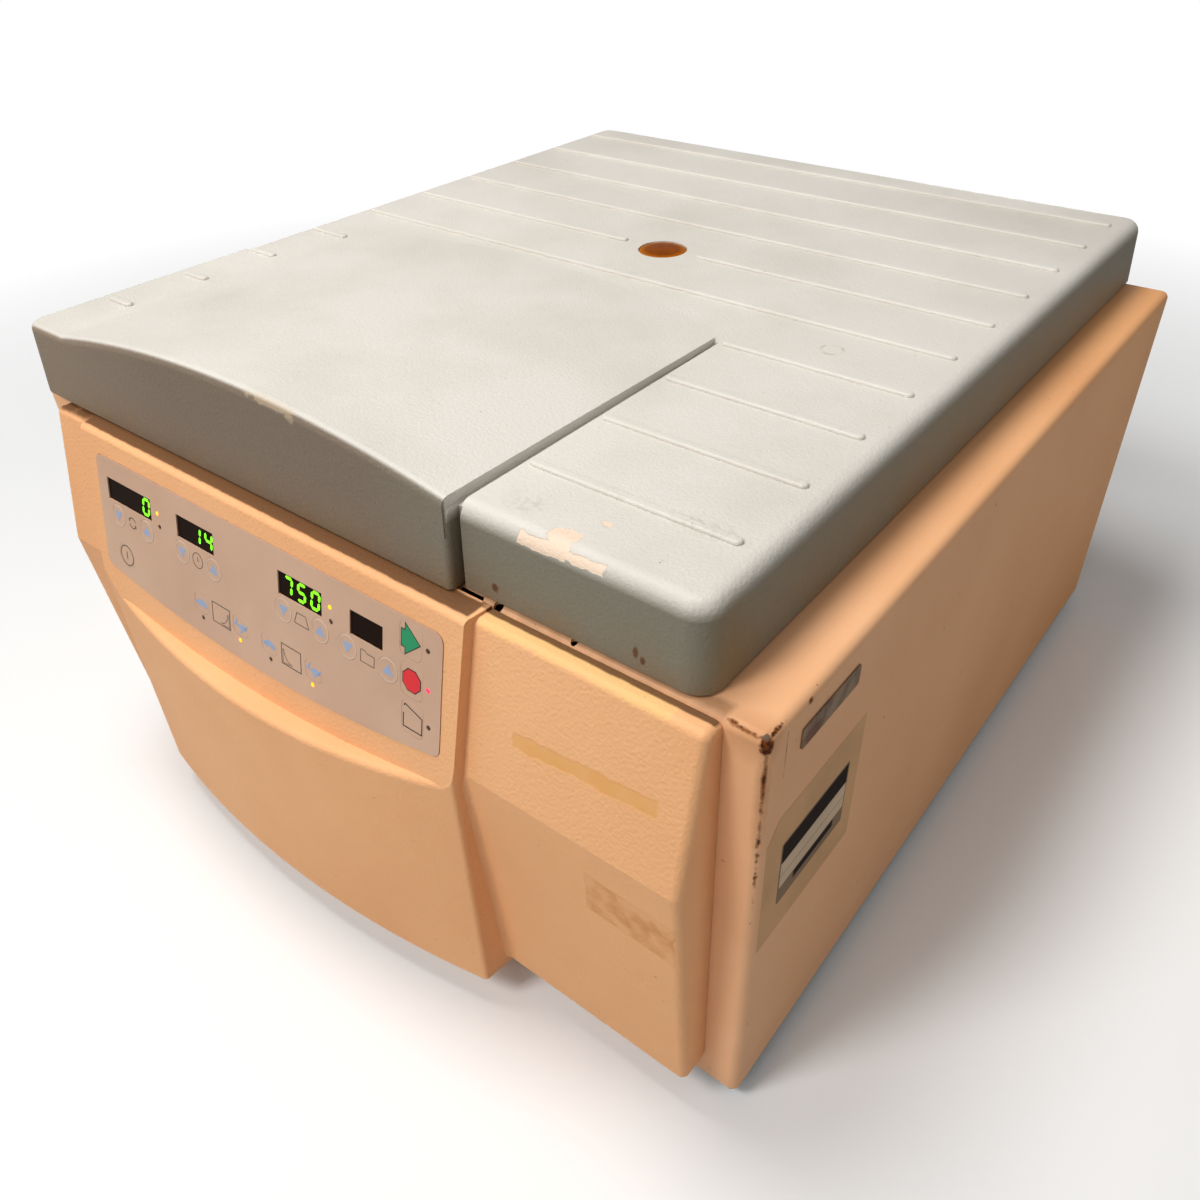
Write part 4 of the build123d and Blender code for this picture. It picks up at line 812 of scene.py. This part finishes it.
# ------------------------------------------------------------ pieces of the key panel
def panel_prints():
    """Everything printed on the key film and on its pressed keys."""
    def on_key(key, draw, paint, piece="print_", out=PRINT_FACE, thick=0.06):
        printed(piece + key, draw, key_matrix(key, out), paint, "button_" + key, thick)

    def on_film(name, draw, x, v):
        printed("print_" + name, draw, panel_matrix(x, v, PRINT_FACE), "brown ink", "cabinet")

    for name in ARROW_PAIRS:
        for key, draw in ((name + "_down", triangle_down), (name + "_up", triangle_up)):
            on_key(key, draw, "blue ink")
            # painted highlight ring on the key's embossed rim
            on_key(key, painted_key_highlight, "ring highlight paint", "highlight_ring_", thick=0.12)
    for name, draw in (("speed", turning_icon), ("time", clock_icon), ("rotor", rotor_icon),
                       ("program", program_icon)):
        on_film(name, draw, ARROW_PAIRS[name], ARROW_V)
    on_film("accel", slope_box(falling=False), -60.6, LOW_V + 0.4)
    on_film("brake", slope_box(falling=True), -3.5, LOW_V + 0.4)
    for name in ("accel", "brake"):
        on_key(name + "_slow", slow_icon, "blue ink")
        on_key(name + "_fast", fast_icon, "blue ink")
    on_key("power", power_icon, "brown ink")
    for key, edge, fill, paint in (("start", start_arrow(0.55), start_arrow(0.0), "green ink"),
                                   ("stop", octagon(6.4), octagon(5.8), "red ink")):
        on_key(key, edge, "black ink", "edge_", thick=0.04)
        on_key(key, fill, paint, out=PRINT_FACE + 0.05, thick=0.05)
    on_key("lid", lid_icon, "black ink")


def figure(bm, digit, x, y):
    """One seven-stroke figure whose lower left corner is at x, y."""
    gap = 0.2
    right = x + FIGURE_WIDE
    low, middle, top = y, y + FIGURE_HIGH / 2, y + FIGURE_HIGH
    level = {"a": top, "g": middle, "d": low}
    upright = {"f": (x, top, middle), "b": (right, top, middle), "e": (x, middle, low),
               "c": (right, middle, low)}

    def leaning(px, py):
        return px + (py - y) * FIGURE_SLANT, py

    for name in FIGURE_STROKES[digit]:
        if name in level:
            start, end = (x + gap, level[name]), (right - gap, level[name])
        else:
            side, above, below = upright[name]
            start, end = (side, above - gap), (side, below + gap)
        stroke(bm, leaning(*start), leaning(*end), FIGURE_STROKE)


def display_figures():
    """Lit figures behind the smoked filters: speed, minutes and rotor number."""
    def number(text, right):
        def draw(bm):
            for count, digit in enumerate(reversed(text)):
                figure(bm, digit, right - FIGURE_INSET - FIGURE_PITCH * count, -FIGURE_HIGH / 2)
        return draw

    for x, text, right in READINGS:
        printed("figures_%s" % text, number(text, right),
                panel_matrix(x, DISPLAY_V, DISPLAY_FACE), "digit", "cabinet", 0.05)


def lamp_lenses():
    """Domed lens over each lamp of the panel; five are lit."""
    profile = [(0.0, 0.75), (0.7, 0.62), (1.15, 0.25), (1.22, 0.0), (1.22, -6.5), (0.0, -6.5)]
    for paint, spots in PANEL_LAMPS.items():
        for count, (x, v) in enumerate(spots, 1):
            bm = spun(profile, 24, panel_matrix(x, v, FILM_FACE - 0.35))
            name = "%s_%d" % (paint.replace(" ", "_"), count)
            piece = finish_piece(name, bm, paint, "cabinet", True)
            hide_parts("indicator_leds")


def key_collars():
    """Soft skirt moulded round each key: it closes the running gap in the film just below its
    face."""
    def skirt(wide, high):
        corner = wide if wide == high else 4.0

        def draw(bm):
            inner, outer = ([bm.verts.new((x, y, 0)) for x, y in
                             round_corners(wide + grow, high + grow, corner + grow)]
                            for grow in (0.01, 0.285))
            for i in range(len(inner)):
                bm.faces.new((inner[i - 1], outer[i - 1], outer[i], inner[i]))
            bmesh.ops.dissolve_degenerate(bm, dist=1e-5, edges=bm.edges)
        return draw

    for key, (_, _, wide, high) in KEYS.items():
        printed("collar_" + key, skirt(wide, high), key_matrix(key, FILM_FACE - 0.34), "film",
                "button_" + key, 0.30)


# ------------------------------------------------------------ other fitted pieces
def sight_lens():
    """Domed face of the amber port: it fills the bore up to the top of the lid."""
    profile = [(0.0, 0.55), (4.5, 0.46), (9.0, 0.18), (12.5, -0.22), (14.7, -0.55),
               (15.3, -0.85), (15.3, -1.36), (13.2, -1.36), (9.0, -0.85), (4.5, -0.34),
               (0.0, -0.17)]
    where = Matrix.Scale(MM, 4) @ Matrix.Translation((AXIS_X, AXIS_Y, LID_TOP))
    finish_piece("sight_lens", spun(profile, 64, where), "amber", "lid", True)


def side_label():
    """Clear film patch, one corner folded over, on a blank rating label on the right side."""
    def shape(*points):
        return lambda bm: polygon(bm, points)

    film, label = (-199.0, 163.5), (-197.5, 162.7)
    printed("label_patch", shape((-42, -40.5), (42, -40.5), (42, 40.5), (-33, 40.5), (-42, 31)),
            side_matrix(*film, 0.01), "clear patch", "cabinet", 0.08)
    printed("label_fold", shape((-42, 31), (-33, 40.5), (-34.5, 32.5)),
            side_matrix(*film, 0.10), "clear patch", "cabinet", 0.10)
    printed("label_base", shape(*round_corners(29.75, 20.25, 1.2, 4)),
            side_matrix(*label, 0.09), "label grey", "cabinet", 0.10)
    for name, x0, x1, y0, y1, out, paint in (
            ("header", -28.8, 28.8, 7.0, 19.2, 0.19, "label black"),
            ("field", -28.8, 28.8, -9.6, 6.6, 0.19, "label white"),
            ("footer", -16.0, 20.0, -15.2, -10.4, 0.19, "label black"),
            ("rule", -28.8, 28.8, -2.2, -1.9, 0.23, "label grey")):
        printed("label_" + name, shape((x0, y0), (x1, y0), (x1, y1), (x0, y1)),
                side_matrix(*label, out), paint, "cabinet", 0.04)


# ------------------------------------------------------------ floor, light and camera
def look_frame(azimuth, elevation, roll):
    """Right, up and back of a camera that looks from there to the origin, rolled about its
    sight line."""
    a, e, r = (math.radians(v) for v in (azimuth, elevation, roll))
    back = Vector((math.sin(a) * math.cos(e), -math.cos(a) * math.cos(e), math.sin(e)))
    right = back.cross(Vector((0, 0, -1))).normalized()
    up = right.cross(-back)
    turned = math.cos(r) * right + math.sin(r) * up
    return turned, -math.sin(r) * right + math.cos(r) * up, back


def add_camera():
    """Camera for the view from the front right, looking down on the lid."""
    data = bpy.data.cameras.new("camera")
    data.sensor_width = CAMERA_SENSOR
    data.lens = CAMERA_LENS
    data.shift_x = CAMERA_SHIFT
    data.clip_start, data.clip_end = 0.01, 50.0
    camera = bpy.data.objects.new("camera", data)
    camera.matrix_world = set_out(*look_frame(*CAMERA_TURN), Vector(CAMERA_SPOT) * MM)
    bpy.context.scene.collection.objects.link(camera)
    bpy.context.scene.camera = camera


def add_lamp(name, spot, aim, size, power):
    """Soft round lamp at a spot, aimed at a point."""
    data = bpy.data.lights.new(name, "AREA")
    data.shape, data.size, data.energy = "DISK", size, power
    lamp = bpy.data.objects.new(name, data)
    lamp.location = spot
    lamp.rotation_euler = (Vector(aim) - Vector(spot)).to_track_quat("-Z", "Y").to_euler()
    bpy.context.scene.collection.objects.link(lamp)


def seen_straight(tree, path):
    """1 for what the camera sees, straight or through something clear."""
    return combine(tree, "MAXIMUM", path.outputs["Is Camera Ray"],
                   path.outputs["Is Transmission Ray"])


def blended(tree, factor, first, second):
    """One shader blended into another."""
    return add(tree, "MixShader", i0=factor, i1=first.outputs[0], i2=second.outputs[0])


def surround():
    """Dim even light from all round, which shows white to the camera and grey to gloss."""
    world = bpy.data.worlds.new("surround")
    bpy.context.scene.world = world
    world.use_nodes = True
    tree = world.node_tree
    tree.nodes.clear()
    path = add(tree, "LightPath")
    ambient, mirrored, backdrop = (
        add(tree, "Background", {"Strength": level, "Color": (1.0, 1.0, 1.0, 1.0)})
        for level in (AMBIENT, MIRRORED, BACKDROP))
    unseen = blended(tree, path.outputs["Is Glossy Ray"], ambient, mirrored)
    shown = blended(tree, seen_straight(tree, path), unseen, backdrop)
    tree.links.new(shown.outputs[0], tree.nodes.new("ShaderNodeOutputWorld").inputs["Surface"])


def floor_finish():
    """White studio floor: it keeps the shadow near the object and fades to the white
    surround."""
    material, tree, shader = new_material("pale studio floor", Base_Color=srgb("#BEBEBC"),
                                          Roughness=0.9)
    fade = ramp(tree, length(tree, place(tree)), *FLOOR_FADE)
    pale = add(tree, "BsdfDiffuse", {"Color": srgb("#FAFAF9")})
    white = add(tree, "Emission", {"Color": (1.0, 1.0, 1.0, 1.0), "Strength": 1.0})
    seen = seen_straight(tree, add(tree, "LightPath"))
    both = blended(tree, seen, shader, blended(tree, fade, pale, white))
    tree.links.new(both.outputs[0], tree.nodes["Material Output"].inputs["Surface"])
    return material


def studio():
    """Pale seamless floor, an even white surround and five soft lamps."""
    surround()
    bm = bmesh.new()
    bmesh.ops.create_grid(bm, x_segments=1, y_segments=1, size=FLOOR_HALF)
    mesh = bpy.data.meshes.new("floor")
    bm.to_mesh(mesh)
    bm.free()
    floor = bpy.data.objects.new("floor", mesh)
    bpy.context.scene.collection.objects.link(floor)
    mesh.materials.append(floor_finish())
    for name, settings in STUDIO_LAMPS.items():
        add_lamp(name, *settings)
    bpy.context.scene.view_settings.view_transform = "Standard"


paint_nodes()
panel_prints()
display_figures()
lamp_lenses()
side_label()
key_collars()
sight_lens()
add_camera()
studio()
